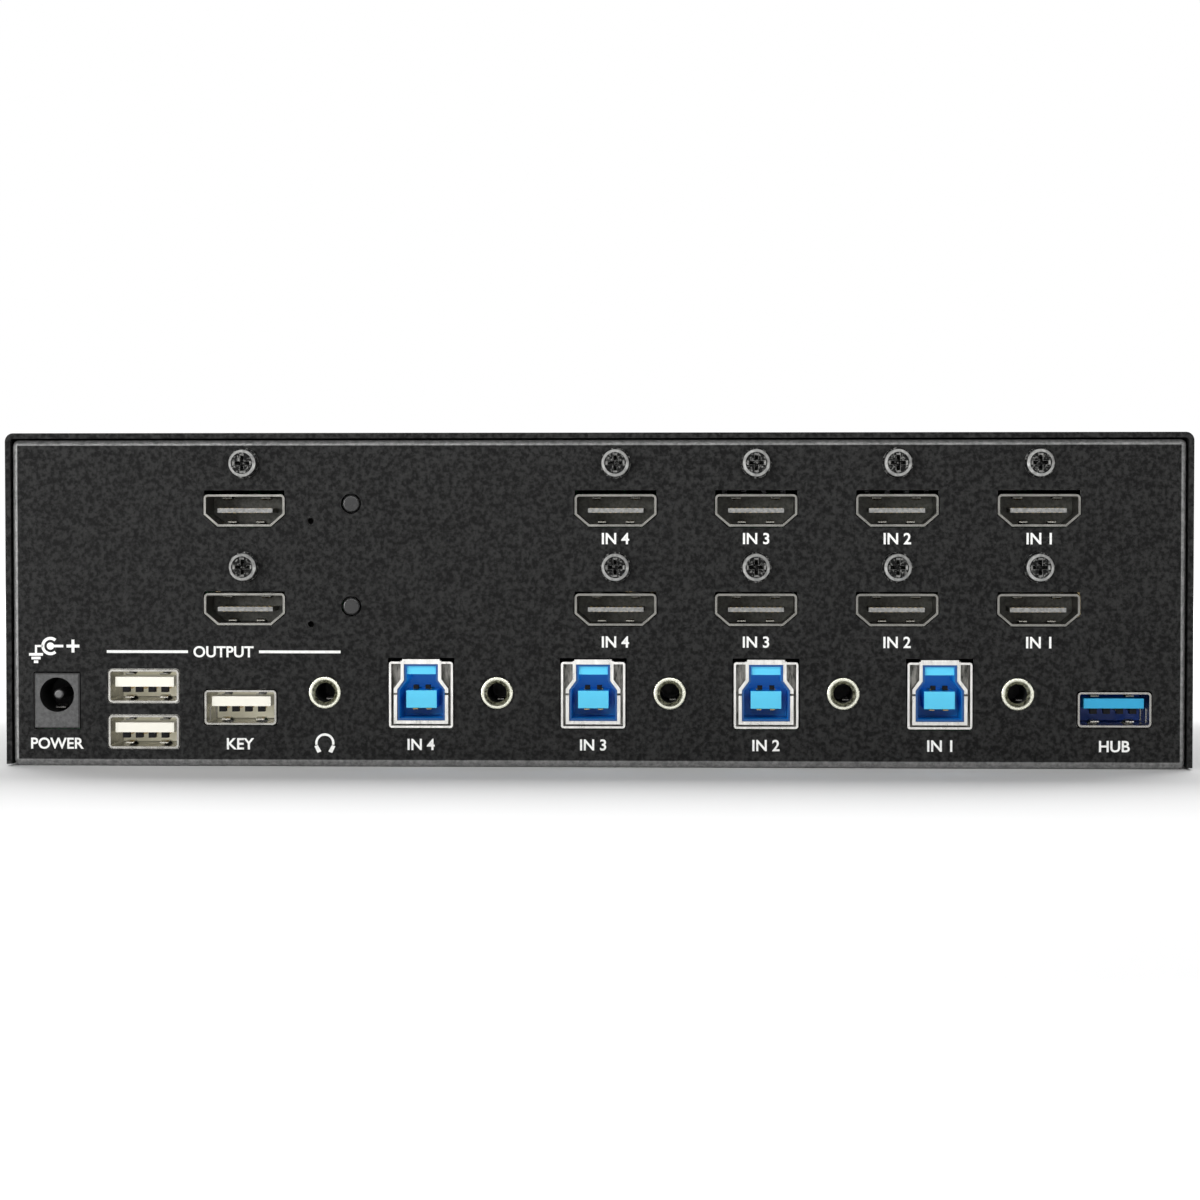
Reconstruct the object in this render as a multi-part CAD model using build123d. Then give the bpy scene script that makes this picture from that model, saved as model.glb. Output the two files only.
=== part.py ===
from build123d import *

import os

# Four-computer, two-display KVM switch: a folded steel box full of connectors.
# Millimetres, +Z up. The connector panel faces -Y and the control panel faces +Y.
# The origin is the middle of the footprint, on the underside of the bottom plate.

# ---- Enclosure ----
WIDTH = 218.0            # over the top cover
DEPTH = 130.0            # panel face to panel face
HEIGHT = 61.5            # over the top cover
SHEET = 1.0
COVER_GAP = 0.3          # air between the cover and the chassis inside it
COVER_BEND = 1.55
BASE_BEND = 1.4
PANEL_BEND = 1.1
PANEL_FLANGE = 9.0       # the panels' edges folded inwards
SIDE_FLANGE = 13.0       # height of the bottom plate's upturned sides
RELIEF = 0.8             # slit where two folds meet

CHASSIS_WIDTH = WIDTH - 2 * (SHEET + COVER_GAP)
CHASSIS_HEIGHT = HEIGHT - SHEET - COVER_GAP
REAR = -DEPTH / 2        # outer face of the connector panel
FRONT = DEPTH / 2        # outer face of the control panel
REAR_INSIDE = REAR + SHEET
FRONT_INSIDE = FRONT - SHEET
OVERLAY = 0.25           # printed film on the control panel

VENT_COUNT = 14
VENT_PITCH = 6.0
VENT_SIZE = (22.0, 2.0)
VENT_Z = 36.0
COVER_SCREW_Y = (-40.0, 40.0)
COVER_SCREW_Z = 10.0

# ---- Rear connectors, positions as X from the middle and Z from the bottom ----
INPUTS = (1, 2, 3, 4)    # computer 1 is the rightmost seen from behind
HDMI_X = {n: 81.05 - 25.73 * (n - 1) for n in INPUTS}
HDMI_OUT_X = -64.6
HDMI_Z = {"upper": 47.25, "lower": 29.05}
HDMI_WIDTH = 15.0
HDMI_HEIGHT = 5.9
HDMI_SIDE = 3.7          # straight part of the side, above the slope
HDMI_FLAT = 9.9          # width of the bottom
HDMI_CORNER = 0.8
HDMI_WALL = 0.4
HDMI_DEPTH = 11.0
HDMI_TONGUE = (10.2, 0.8)
HDMI_MOUTH = REAR + 0.1
HDMI_HEADROOM = {"upper": 0.75, "lower": 0.35}
LOCK_Z = {"upper": 55.9, "lower": 36.85}

LED_X = -44.85
LED_Z = {"upper": 48.5, "lower": 29.6}
PINHOLE_X = -52.3
PINHOLE_Z = {"upper": 45.3, "lower": 26.3}

USB_B_X = {n: 63.15 - 31.7 * (n - 1) for n in INPUTS}
USB_B_SIZE = (11.8, 12.2)
USB_B_LIFT = 0.25        # the can's underside above the board
USB_B_DEPTH = 16.0
USB_B_BUMP = (6.9, 0.45)
USB_B_MOUTH = REAR - 0.1
USB_B_RECESS = 2.5       # depth of the trough round the inner shield
USB_B_WEB = 0.4
USB_B_SHIELD = 0.6
JACK_X = {n: 77.3 - 31.75 * (n - 1) for n in INPUTS}
JACK_OUT_X = -49.75
JACK_Z = 13.7
JACK_RING = 3.0
JACK_MOUTH = 2.45
JACK_BORE = 1.8
JACK_BORE_START = REAR + 0.5     # where the collar's cone ends
JACK_BORE_END = REAR + 13.6
JACK_BODY_START = REAR + 1.1
JACK_BODY = (10.0, 13.5, 12.0)

USB_A_SIZE = (13.3, 6.4)
USB_A_WALL = 0.35
USB_A_DEPTH = 14.0
USB_A_TONGUE = (10.9, 1.8)
USB_A_Z = 10.9
HUB_X = 94.85
KEYBOARD_X = -65.4
STACK_X = -83.4
STACK_Z = (6.35, 14.81)
STACK_MOUTH = (13.05, 6.1)
STACK_DEPTH = 17.0

DC_X = -99.5
DC_SIZE = (8.4, 14.3, 10.2)
DC_HOLE_Z = 13.2
DC_HOLE = 3.2
DC_HOLE_DEPTH = 10.0
DC_PIN = 1.02

# ---- Boards ----
BOARD = 1.6
MAIN_TOP = 7.0
PLUNGER_RISE = 1.15      # pinhole axis above the board that carries the switch
BOARD_TOP = {level: z - PLUNGER_RISE for level, z in PINHOLE_Z.items()}
MAIN_SIZE = (209.0, 125.0)
VIDEO_X = (-78.0, 98.0)
VIDEO_Y = (REAR + 2.5, 42.0)
CONTROL_X = 94.0
CONTROL_Z = (18.0, 55.0)
CONTROL_Y = (54.4, 56.0)
SPOTS = [(x, y) for x in (-72.0, 8.0, 90.0) for y in (-36.0, 34.0)]
MAIN_SPOTS = [(-98.0, 2.0), (-98.0, 46.0)]
CONTROL_SPOTS = [(x, z) for x in (-88.0, 88.0) for z in (23.0, 50.0)]
HEX = 5.5
STUD = 1.4
TAP = 1.5
CLEARANCE_HOLE = 1.6

LINK_X = -30.0
LINK_Y = 30.0
LINK_SIZE = (40.0, 6.0, 9.0)
RIBBON_X = 30.0
RIBBON_SIZE = (20.0, 0.9)
RIBBON_Y = 46.0
RIBBON_Z = 36.0
HEADER = (24.0, 8.0, 9.0)

# chip: X, Y, side, height
CHIP_HEIGHT = 1.2
MAIN_CHIPS = [(-20, -15, 12), (30, -12, 12), (70, -12, 10), (-50, 0, 12), (50, 18, 7), (-92, -12, 6)]
VIDEO_CHIPS = [(26, -8, 15), (62, -8, 15), (-52, -30, 8), (-26, -22, 8)]
SINK = 28.0
SINK_BASE = 2.0
SINK_HEIGHT = 8.0
SINK_FINS = 8
SINK_FIN = 1.0
CAPACITORS = [(-98, -42, 4.0, 10.0), (-88, -38, 4.0, 10.0), (-98, -30, 3.15, 7.7), (-40, -38, 3.15, 7.7)]
CAPACITORS += [(60, -38, 3.15, 7.7), (22, -38, 3.15, 7.7), (60, 38, 3.15, 7.7)]
COILS = [(-84, -24), (-74, -24), (-84, -12), (44, -34)]
COIL = (7.0, 4.2)
BUZZER = (-60.0, 44.0, 6.0, 8.5)

# ---- Front controls; the lowest number is at the viewer's left ----
BUTTON_X = {n: 75.0 - 30.0 * n for n in INPUTS}
BUTTON_Z = 30.0
BUTTON_CAP = (11.0, 6.4)
BUTTON_CORNER = 1.2
BUTTON_PROUD = 1.4
BUTTON_REST_GAP = 0.1
BUTTON_GAP = 0.2
LIGHT_Z = 42.0
LIGHT_X = [75.0 - 30.0 * n for n in INPUTS] + [76.0]
LIGHT = 1.5
SWITCH = 6.0
SWITCH_HEIGHT = 3.5
STEM = 1.7
FRONT_USB_X = -82.0


# ---- Shape helpers ----
def block(x, y, z):
    """Box between a low and a high limit on each axis."""
    middle = Pos((x[0] + x[1]) / 2, (y[0] + y[1]) / 2, (z[0] + z[1]) / 2)
    return middle * Box(x[1] - x[0], y[1] - y[0], z[1] - z[0])


def centred(x, y, z, size):
    """Box of a given size centred in X and Y, standing on z."""
    return Pos(x, y, z + size[2] / 2) * Box(*size)


def along_y(sketch, x, z, low, high):
    """Solid with an X-Z section, between two places on Y."""
    plane = Plane(origin=(x, high, z), x_dir=(1, 0, 0), z_dir=(0, -1, 0))
    return extrude(plane * sketch, high - low)


def rod(radius, x, z, low, high):
    """Round bar along Y."""
    return along_y(Circle(radius), x, z, low, high)


def cone_y(low_radius, high_radius, x, z, low, high):
    """Cone along Y, with a radius at each end."""
    return Pos(x, (low + high) / 2, z) * Rot(-90, 0, 0) * Cone(low_radius, high_radius, high - low)


def post(radius, x, y, low, high):
    """Round bar along Z."""
    return Pos(x, y, (low + high) / 2) * Cylinder(radius, high - low)


def joined(shapes):
    """Union of a list of shapes."""
    whole = shapes[0]
    for shape in shapes[1:]:
        whole = whole + shape
    return whole


def group(shapes):
    """Separate solids kept in one node."""
    return Compound(children=[solid for shape in shapes for solid in shape.solids()])


def cross_recess(width, depth):
    """Tapered cross for a screwdriver, its mouth on z = 0 and its point below."""
    slot = 0.22 * width
    arm = loft([Pos(0, 0, 0.01) * Rectangle(width, slot), Pos(0, 0, -depth) * Rectangle(width / 3, slot / 2)])
    return arm + Rot(0, 0, 90) * arm


# ---- Outlines of the connectors, in X and Z about their own centres ----
def hdmi_outline():
    """Straight top, rounded upper corners and a sloped lower half."""
    half, top, low = HDMI_WIDTH / 2, HDMI_HEIGHT / 2, -HDMI_HEIGHT / 2
    shoulder = top - HDMI_SIDE
    flat = HDMI_FLAT / 2
    points = [(-half, top), (-half, shoulder), (-flat, low), (flat, low), (half, shoulder), (half, top)]
    face = Polygon(*points, align=None)
    corners = face.vertices().sort_by(Axis.Y)
    return fillet(corners[-2:], HDMI_CORNER)


def usb_b_opening():
    """Outline of the USB-B mouth: narrow top, sloped shoulders and a square lower half."""
    neck, body = 3.15, 4.42
    bottom, shoulder, throat, top = 1.6, 7.3, 9.0, 12.0
    right = [(body, bottom), (body, shoulder), (neck, throat), (neck, top)]
    left = [(-x, z) for x, z in reversed(right)]
    return Polygon(*(right + left), align=None)


def usb_b_outline():
    """Outside of the USB-B can above the board's top at z = 0, with its raised top."""
    width, height = USB_B_SIZE
    bump_width, bump_height = USB_B_BUMP
    can = Pos(0, USB_B_LIFT + height / 2) * RectangleRounded(width, height, 0.5)
    bump_total = 2.0 + bump_height
    bump_top = USB_B_LIFT + height + bump_height
    bump = Pos(0, bump_top - bump_total / 2) * Rectangle(bump_width, bump_total)
    return can + bump


def grown(sketch, amount):
    """The sketch with its outline moved outwards, or inwards when negative."""
    return offset(sketch, amount=amount, kind=Kind.INTERSECTION)


# ---- Legs that hold a connector to its board ----
def legs(x, half_width, stations, low, high, spare=0.0):
    """Pairs of flat legs at each place on Y; spare widens them into board slots."""
    thick, wide = 0.4 + 2 * spare, 1.4 + 2 * spare
    boxes = []
    for y in stations:
        for side in (-1, 1):
            boxes.append(centred(x + side * half_width, y, low, (thick, wide, high - low)))
    return boxes


HDMI_LEG_X = HDMI_FLAT / 2 - 0.4
HDMI_LEGS = (REAR + 4.5, REAR + 9.5)
USB_LEG_X = 6.4
USB_LEGS = (REAR + 4.5, REAR + 11.0)
FRONT_USB_LEGS = tuple(-y for y in USB_LEGS)
USB_B_LEG_X = USB_B_SIZE[0] / 2 - 0.2
LEG_TAIL = 1.0           # how far a leg comes out under its board
LEG_SPARE = 0.15


def hdmi_places():
    """Name, X and row of every HDMI port."""
    places = []
    for row in HDMI_Z:
        places += [(f"hdmi_in_{n}_{row}", HDMI_X[n], row) for n in INPUTS]
        places.append((f"hdmi_out_{row}", HDMI_OUT_X, row))
    return places


# ---- Enclosure ----
def rear_cutouts():
    """Everything that is punched out of the connector panel."""
    low, high = REAR - 1, REAR_INSIDE + 0.5
    cuts = []
    for _, x, row in hdmi_places():
        cuts.append(along_y(grown(hdmi_outline(), 0.2), x, HDMI_Z[row], low, high))
        top = HDMI_Z[row] + HDMI_HEIGHT / 2
        band = (top - 1, top + HDMI_HEADROOM[row])
        cuts.append(block((x - HDMI_WIDTH / 2, x + HDMI_WIDTH / 2), (low, high), band))
        cuts.append(rod(CLEARANCE_HOLE, x, LOCK_Z[row], low, high))
    for row in LED_Z:
        cuts.append(rod(1.9, LED_X, LED_Z[row], low, high))
        cuts.append(rod(0.6, PINHOLE_X, PINHOLE_Z[row], low, high))
    for x in USB_B_X.values():
        cuts.append(along_y(grown(usb_b_outline(), 0.25), x, MAIN_TOP, low, high))
        corner = USB_B_SIZE[0] / 2 + 0.25
        top = MAIN_TOP + USB_B_LIFT + USB_B_SIZE[1]
        cuts.append(block((x - corner, x + corner), (low, high), (top - 1, top + 0.7)))
    for x in [*JACK_X.values(), JACK_OUT_X]:
        cuts.append(rod(JACK_RING + 0.1, x, JACK_Z, low, high))
    usb_a = RectangleRounded(USB_A_SIZE[0] + 0.5, USB_A_SIZE[1] + 0.5, 0.8)
    for x in (HUB_X, KEYBOARD_X):
        cuts.append(along_y(usb_a, x, USB_A_Z, low, high))
    mouth = RectangleRounded(STACK_MOUTH[0] + 0.5, STACK_MOUTH[1] + 0.4, 0.8)
    for z in STACK_Z:
        cuts.append(along_y(mouth, STACK_X, z, low, high))
    dc = RectangleRounded(DC_SIZE[0] + 0.4, DC_SIZE[2] + 0.5, 0.3)
    cuts.append(along_y(dc, DC_X, MAIN_TOP + DC_SIZE[2] / 2, low, high))
    return cuts


def front_cutouts(low, high, spare):
    """Holes for the buttons, the light pipes and the USB port."""
    cuts = []
    button = RectangleRounded(BUTTON_CAP[0] + 2 * spare, BUTTON_CAP[1] + 2 * spare, BUTTON_CORNER + spare)
    for x in BUTTON_X.values():
        cuts.append(along_y(button, x, BUTTON_Z, low, high))
    for x in LIGHT_X:
        cuts.append(rod(LIGHT + 0.1, x, LIGHT_Z, low, high))
    usb_a = RectangleRounded(USB_A_SIZE[0] + 0.5, USB_A_SIZE[1] + 0.5, 0.8)
    cuts.append(along_y(usb_a, FRONT_USB_X, USB_A_Z, low, high))
    return cuts


def folded_box():
    """Closed box with rounded folds, before anything is cut away."""
    half = CHASSIS_WIDTH / 2
    outer = block((-half, half), (REAR, FRONT), (0, CHASSIS_HEIGHT))
    crosswise = outer.edges().filter_by(Axis.X).sort_by(Axis.Z)
    outer = fillet(crosswise[:2], BASE_BEND)
    lowest_side = outer.edges().filter_by(Axis.Y).sort_by(Axis.Z)[:2]
    outer = fillet(lowest_side, PANEL_BEND)
    upright = outer.edges().filter_by(Axis.Z)
    top = outer.edges().filter_by(Axis.X).sort_by(Axis.Z)[-2:]
    outer = fillet(upright + top, PANEL_BEND)
    inner = block((SHEET - half, half - SHEET), (REAR_INSIDE, FRONT_INSIDE), (SHEET, CHASSIS_HEIGHT - SHEET))
    return outer - fillet(inner.edges().filter_by(Axis.X), BASE_BEND - SHEET)


def fold_reliefs():
    """Open top and sides between the flanges, and the slits at their corners."""
    half = CHASSIS_WIDTH / 2
    reach = DEPTH / 2 - PANEL_FLANGE
    inside = half - SHEET - 0.2
    cuts = [block((-half, half), (-reach, reach), (CHASSIS_HEIGHT - SHEET - 0.2, CHASSIS_HEIGHT + 1))]
    for side in (-1, 1):
        wall = sorted((side * inside, side * (half + 1)))
        slit = sorted((side * (half - 2 * PANEL_BEND), side * (half + 1)))
        cuts.append(block(wall, (-reach, reach), (SIDE_FLANGE, CHASSIS_HEIGHT + 1)))
        for end in (-1, 1):
            fold = sorted((end * reach, end * (reach - RELIEF)))
            cuts.append(block(wall, fold, (SHEET + 0.4, CHASSIS_HEIGHT + 1)))
            run = sorted((end * reach, end * (DEPTH / 2 - 2 * PANEL_BEND)))
            cuts.append(block(wall, run, (SHEET + 0.4, SHEET + 0.4 + RELIEF)))
            top_slit = (CHASSIS_HEIGHT - 2 * PANEL_BEND, CHASSIS_HEIGHT + 1)
            cuts.append(block(slit, run, top_slit))
    return cuts


def chassis():
    """Bottom plate with both panels and the low sides folded up from one sheet."""
    body = folded_box()
    for cut in fold_reliefs() + rear_cutouts() + front_cutouts(FRONT_INSIDE - 0.5, FRONT + 1, BUTTON_GAP):
        body = body - cut
    for x, y in SPOTS + MAIN_SPOTS:
        body = body - post(2.1, x, y, -1, SHEET + 1)
    for y in COVER_SCREW_Y:
        hole = Pos(0, y, COVER_SCREW_Z) * Rot(0, 90, 0) * Cylinder(TAP, WIDTH)
        body = body - hole
    return body


def vent_slots():
    """Upright slots through both sides of the cover."""
    length, width = VENT_SIZE
    first = -VENT_PITCH * (VENT_COUNT - 1) / 2
    slots = []
    for i in range(VENT_COUNT):
        outline = Plane.YZ * Pos(first + i * VENT_PITCH, VENT_Z) * SlotOverall(length, width, rotation=90)
        slots.append(extrude(outline, WIDTH, both=True))
    return slots


def countersink(y, side):
    """Cone and hole of one cover screw, through the cover's side."""
    face = side * WIDTH / 2
    turn = Rot(0, 90 * side, 0)
    cone = Pos(face - side * SHEET / 2, y, COVER_SCREW_Z) * turn * Cone(TAP + 0.05, 2.55, SHEET + 0.02)
    return cone


def top_cover():
    """U-shaped cover: top and two sides from one sheet."""
    half = WIDTH / 2
    outer = block((-half, half), (REAR, FRONT), (COVER_GAP, HEIGHT))
    outer = fillet(outer.edges().filter_by(Axis.Y).sort_by(Axis.Z)[-2:], COVER_BEND)
    inner = block((SHEET - half, half - SHEET), (REAR - 1, FRONT + 1), (-1, HEIGHT - SHEET))
    inner = fillet(inner.edges().filter_by(Axis.Y).sort_by(Axis.Z)[-2:], COVER_BEND - SHEET)
    cover = outer - inner
    for slot in vent_slots():
        cover = cover - slot
    for y in COVER_SCREW_Y:
        for side in (-1, 1):
            cover = cover - countersink(y, side)
    return cover


def cover_screws():
    """Flat-head screws that hold the cover's sides to the chassis."""
    head = Pos(0, 0, -SHEET / 2) * Cone(STUD, 2.5, SHEET)
    shank = Pos(0, 0, -SHEET - 1.75) * Cylinder(STUD, 3.5)
    screw = head + shank - cross_recess(2.8, 1.4)
    placed = []
    for y in COVER_SCREW_Y:
        for side in (-1, 1):
            placed.append(Pos(side * WIDTH / 2, y, COVER_SCREW_Z) * Rot(0, 90 * side, 0) * screw)
    return group(placed)


def front_overlay():
    """Thin printed film over the control panel."""
    width, height = CHASSIS_WIDTH - 4.4, CHASSIS_HEIGHT - 5.2
    film = along_y(RectangleRounded(width, height, 2), 0, CHASSIS_HEIGHT / 2, FRONT, FRONT + OVERLAY)
    for cut in front_cutouts(FRONT - 0.5, FRONT + 1, BUTTON_GAP):
        film = film - cut
    return film


# ---- HDMI ----
def hdmi_shell(x, row):
    """Steel shell of one HDMI port with its spring windows and board legs."""
    z = HDMI_Z[row]
    end = HDMI_MOUTH + HDMI_DEPTH
    shell = along_y(hdmi_outline(), x, z, HDMI_MOUTH, end)
    shell = shell - along_y(grown(hdmi_outline(), -HDMI_WALL), x, z, HDMI_MOUTH - 1, end + 1)
    window = (HDMI_MOUTH + 2.5, HDMI_MOUTH + 7)
    for centre in (-3.6, 3.6):
        roof = (z + HDMI_HEIGHT / 2 - HDMI_WALL - 0.2, z + HDMI_HEIGHT / 2 + 0.2)
        shell = shell - block((x + centre - 1.1, x + centre + 1.1), window, roof)
    low = BOARD_TOP[row] - BOARD - LEG_TAIL
    feet = legs(x, HDMI_LEG_X, HDMI_LEGS, low, z - HDMI_HEIGHT / 2 + 0.2)
    return joined([shell] + feet)


def hdmi_tongue(x, row):
    """Moulded block that closes the shell, with the contact tongue."""
    z = HDMI_Z[row]
    end = HDMI_MOUTH + HDMI_DEPTH
    back = along_y(grown(hdmi_outline(), -HDMI_WALL - 0.05), x, z, end - 3.0, end - 0.1)
    return back + along_y(Rectangle(*HDMI_TONGUE), x, z, HDMI_MOUTH + 0.9, end - 2.0)


def lock_screw(x, z):
    """Pan-head screw with a collar, above each HDMI port."""
    collar = rod(2.8, x, z, REAR - 0.5, REAR)
    head = rod(2.5, x, z, REAR - 2.6, REAR - 0.5)
    head = chamfer(head.edges().sort_by(Axis.Y)[0], 0.55)
    shank = rod(STUD, x, z, REAR, REAR + 5)
    recess = Pos(x, REAR - 2.6, z) * Rot(90, 0, 0) * cross_recess(3.5, 1.7)
    return head + collar + shank - recess


def lock_nut(x, z):
    """Press nut behind the panel for one lock screw."""
    body = along_y(RegularPolygon(HEX / 2, 6, major_radius=False), x, z, REAR_INSIDE, REAR_INSIDE + 2.4)
    return body - rod(TAP, x, z, REAR, REAR + 5)


# ---- USB ----
def usb_b_shell(x):
    """USB-B can with the inner shield round the mouth and the trough between them."""
    end = USB_B_MOUTH + USB_B_DEPTH
    web_front = USB_B_MOUTH + USB_B_RECESS
    web_back = web_front + USB_B_WEB
    can = along_y(usb_b_outline(), x, MAIN_TOP, USB_B_MOUTH, end)
    can = can - along_y(grown(usb_b_outline(), -0.4), x, MAIN_TOP, USB_B_MOUTH - 1, end + 1)
    web = along_y(grown(usb_b_outline(), -0.2), x, MAIN_TOP, web_front, web_back)
    shield = along_y(grown(usb_b_opening(), USB_B_SHIELD), x, MAIN_TOP, USB_B_MOUTH, web_back)
    for side in (-1, 1):
        seam = sorted((x + side * 4.2, x + side * 5.2))
        notch = (MAIN_TOP + 6.3, MAIN_TOP + 6.7)
        shield = shield - block(seam, (USB_B_MOUTH - 1, USB_B_MOUTH + 1.2), notch)
    opening = along_y(usb_b_opening(), x, MAIN_TOP, USB_B_MOUTH - 1, web_back + 1)
    feet = legs(x, USB_B_LEG_X, USB_LEGS, MAIN_TOP - BOARD - LEG_TAIL, MAIN_TOP + 1)
    return joined([can, (web + shield) - opening] + feet)


def usb_b_insert(x):
    """Moulded core of a USB-B port: the lined cavity and its two contact tongues."""
    front = USB_B_MOUTH + 0.3
    back = USB_B_MOUTH + USB_B_RECESS + USB_B_WEB + 0.1
    end = REAR + USB_B_DEPTH - 0.5
    floor = end - 6.0
    core = along_y(grown(usb_b_outline(), -0.45), x, MAIN_TOP, back, end)
    core = core + along_y(grown(usb_b_opening(), -0.05), x, MAIN_TOP, front, back + 1)
    core = core - along_y(grown(usb_b_opening(), -0.4), x, MAIN_TOP, front - 1, floor)
    lower = along_y(Rectangle(5.6, 3.2), x, MAIN_TOP + 5.5, front + 0.6, floor + 1)
    upper = along_y(Rectangle(5.3, 1.5), x, MAIN_TOP + 10.85, front + 0.6, floor + 1)
    return core + lower + upper


def usb_a_shell(x, station):
    """USB-A shell on the main board; station is -1 at the rear and 1 at the front."""
    near = REAR + USB_A_DEPTH
    outline = RectangleRounded(*USB_A_SIZE, 0.7)
    shell = along_y(outline, x, USB_A_Z, REAR, near)
    bore = RectangleRounded(USB_A_SIZE[0] - 2 * USB_A_WALL, USB_A_SIZE[1] - 2 * USB_A_WALL, 0.4)
    shell = shell - along_y(bore, x, USB_A_Z, REAR - 1, near + 1)
    for centre in (-3.2, 3.2):
        for side in (-1, 1):
            wall = USB_A_Z + side * (USB_A_SIZE[1] - USB_A_WALL) / 2
            shell = shell - block((x + centre - 1, x + centre + 1), (REAR + 3, REAR + 8), (wall - 0.3, wall + 0.3))
    feet = legs(x, USB_LEG_X, USB_LEGS, MAIN_TOP - BOARD - LEG_TAIL, USB_A_Z)
    shell = joined([shell] + feet)
    return shell if station < 0 else mirror(shell, about=Plane.XZ)


def usb_a_tongue(x, z, size, rise, station):
    """Moulded back and tongue of one USB-A port of a given mouth size."""
    width, height = size
    near = REAR + USB_A_DEPTH
    back = along_y(Rectangle(width - 1.1, height - 1.1), x, z, near - 3.5, near - 0.2)
    tongue = along_y(Rectangle(*USB_A_TONGUE), x, z + rise, REAR + 1.0, near - 3.0)
    whole = back + tongue
    return whole if station < 0 else mirror(whole, about=Plane.XZ)


def usb_stack_shell():
    """One-piece shell of the two stacked USB-A ports."""
    width, height = STACK_MOUTH
    low, high = STACK_Z[0] - height / 2, STACK_Z[1] + height / 2
    start = REAR_INSIDE + 0.1
    body = block((STACK_X - 6.9, STACK_X + 6.9), (start, start + STACK_DEPTH), (low - 0.3, high + 0.5))
    for z in STACK_Z:
        body = body + along_y(RectangleRounded(width, height, 0.7), STACK_X, z, REAR, start + 1)
    bore = RectangleRounded(width - 2 * USB_A_WALL, height - 2 * USB_A_WALL, 0.4)
    for z in STACK_Z:
        body = body - along_y(bore, STACK_X, z, REAR - 1, REAR + USB_A_DEPTH)
    ears = legs(STACK_X, 7.0, (start + 6, start + 13), MAIN_TOP - 0.4, MAIN_TOP + 1)
    wings = [centred(STACK_X + side * 8.2, start + 9.5, MAIN_TOP, (2.8, 8, 0.4)) for side in (-1, 1)]
    return joined([body] + ears + wings)


# ---- Audio and power ----
def audio_jack(x):
    """Moulded body of a 3.5 mm jack with its blind bore."""
    width, depth, height = JACK_BODY
    body = centred(x, JACK_BODY_START + depth / 2, MAIN_TOP, (width, depth, height))
    body = chamfer(body.edges().filter_by(Axis.Y).sort_by(Axis.Z)[-2:], 1.2)
    return body - rod(JACK_BORE, x, JACK_Z, JACK_BODY_START - 1, JACK_BORE_END)


def audio_ring(x):
    """Nickel collar of a jack, coned towards the bore."""
    front = REAR - 0.1
    ring = rod(JACK_RING, x, JACK_Z, front, JACK_BODY_START)
    ring = fillet(ring.edges().sort_by(Axis.Y)[0], 0.25)
    ring = ring - rod(JACK_BORE, x, JACK_Z, front - 1, JACK_BODY_START + 1)
    return ring - cone_y(JACK_MOUTH, JACK_BORE, x, JACK_Z, front - 0.001, JACK_BORE_START)


def dc_jack_housing():
    """Moulded power socket, square in front with a round hole."""
    width, depth, height = DC_SIZE
    front = REAR - 0.2
    body = centred(DC_X, front + depth / 2, MAIN_TOP, (width, depth, height))
    body = chamfer(body.faces().sort_by(Axis.Y)[0].edges(), 0.25)
    return body - rod(DC_HOLE, DC_X, DC_HOLE_Z, front - 1, front + DC_HOLE_DEPTH)


def dc_jack_pin():
    """Centre pin of the power socket."""
    root = REAR - 0.2 + DC_HOLE_DEPTH
    pin = rod(DC_PIN, DC_X, DC_HOLE_Z, REAR + 1.2, root)
    return fillet(pin.edges().sort_by(Axis.Y)[0], 0.5)


# ---- Lamps, switches and buttons ----
def rear_lamp(row):
    """Side-looking lamp on a video board."""
    lens = rod(1.6, LED_X, LED_Z[row], REAR + 0.3, REAR + 4.5)
    lens = fillet(lens.edges().sort_by(Axis.Y)[0], 0.4)
    return lens + block((LED_X - 2, LED_X + 2), (REAR + 4, REAR + 8), (BOARD_TOP[row], LED_Z[row] + 2))


def reset_switch(row):
    """Side-pushed switch behind a pinhole, bored for its plunger."""
    top = BOARD_TOP[row]
    body = block((PINHOLE_X - 2.35, PINHOLE_X + 2.35), (REAR + 2.9, REAR + 6.5), (top, top + 2 * PLUNGER_RISE))
    return body - rod(0.75, PINHOLE_X, PINHOLE_Z[row], REAR + 2, REAR + 4.7)


def reset_plunger(row):
    """Plunger that a pin pushes through the pinhole."""
    return rod(0.6, PINHOLE_X, PINHOLE_Z[row], REAR + 2.1, REAR + 3.9)


def button_switch(x):
    """Switch behind one front button, bored for the button's stem."""
    half = SWITCH / 2
    face = CONTROL_Y[1]
    body = block((x - half, x + half), (face, face + SWITCH_HEIGHT), (BUTTON_Z - half, BUTTON_Z + half))
    return body - rod(STEM + 0.15, x, BUTTON_Z, face + 1.3, face + SWITCH_HEIGHT + 1)


def select_button(n):
    """Front push button: cap, retaining flange and stem."""
    x = BUTTON_X[n]
    flange_front = FRONT_INSIDE - BUTTON_REST_GAP
    face = FRONT + BUTTON_PROUD
    cap = along_y(RectangleRounded(*BUTTON_CAP, BUTTON_CORNER), x, BUTTON_Z, flange_front - 1, face)
    cap = fillet(cap.faces().sort_by(Axis.Y)[-1].edges(), 0.5)
    flange = along_y(Rectangle(BUTTON_CAP[0] + 2, BUTTON_CAP[1] + 2), x, BUTTON_Z, flange_front - 1, flange_front)
    stem = rod(STEM, x, BUTTON_Z, CONTROL_Y[1] + 2.5, flange_front - 0.5)
    return cap + flange + stem


def light_pipe(x):
    """Clear rod from a lamp on the control board to the panel's face."""
    base = block((x - 2, x + 2), (CONTROL_Y[1], CONTROL_Y[1] + 2), (LIGHT_Z - 2, LIGHT_Z + 2))
    return base + rod(LIGHT, x, LIGHT_Z, CONTROL_Y[1] + 1, FRONT + OVERLAY)


# ---- Boards and what stands on them ----
def drilled(board, spots):
    """Board with its screw holes."""
    for x, y in spots:
        board = board - post(CLEARANCE_HOLE, x, y, -1, HEIGHT)
    return board


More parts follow.
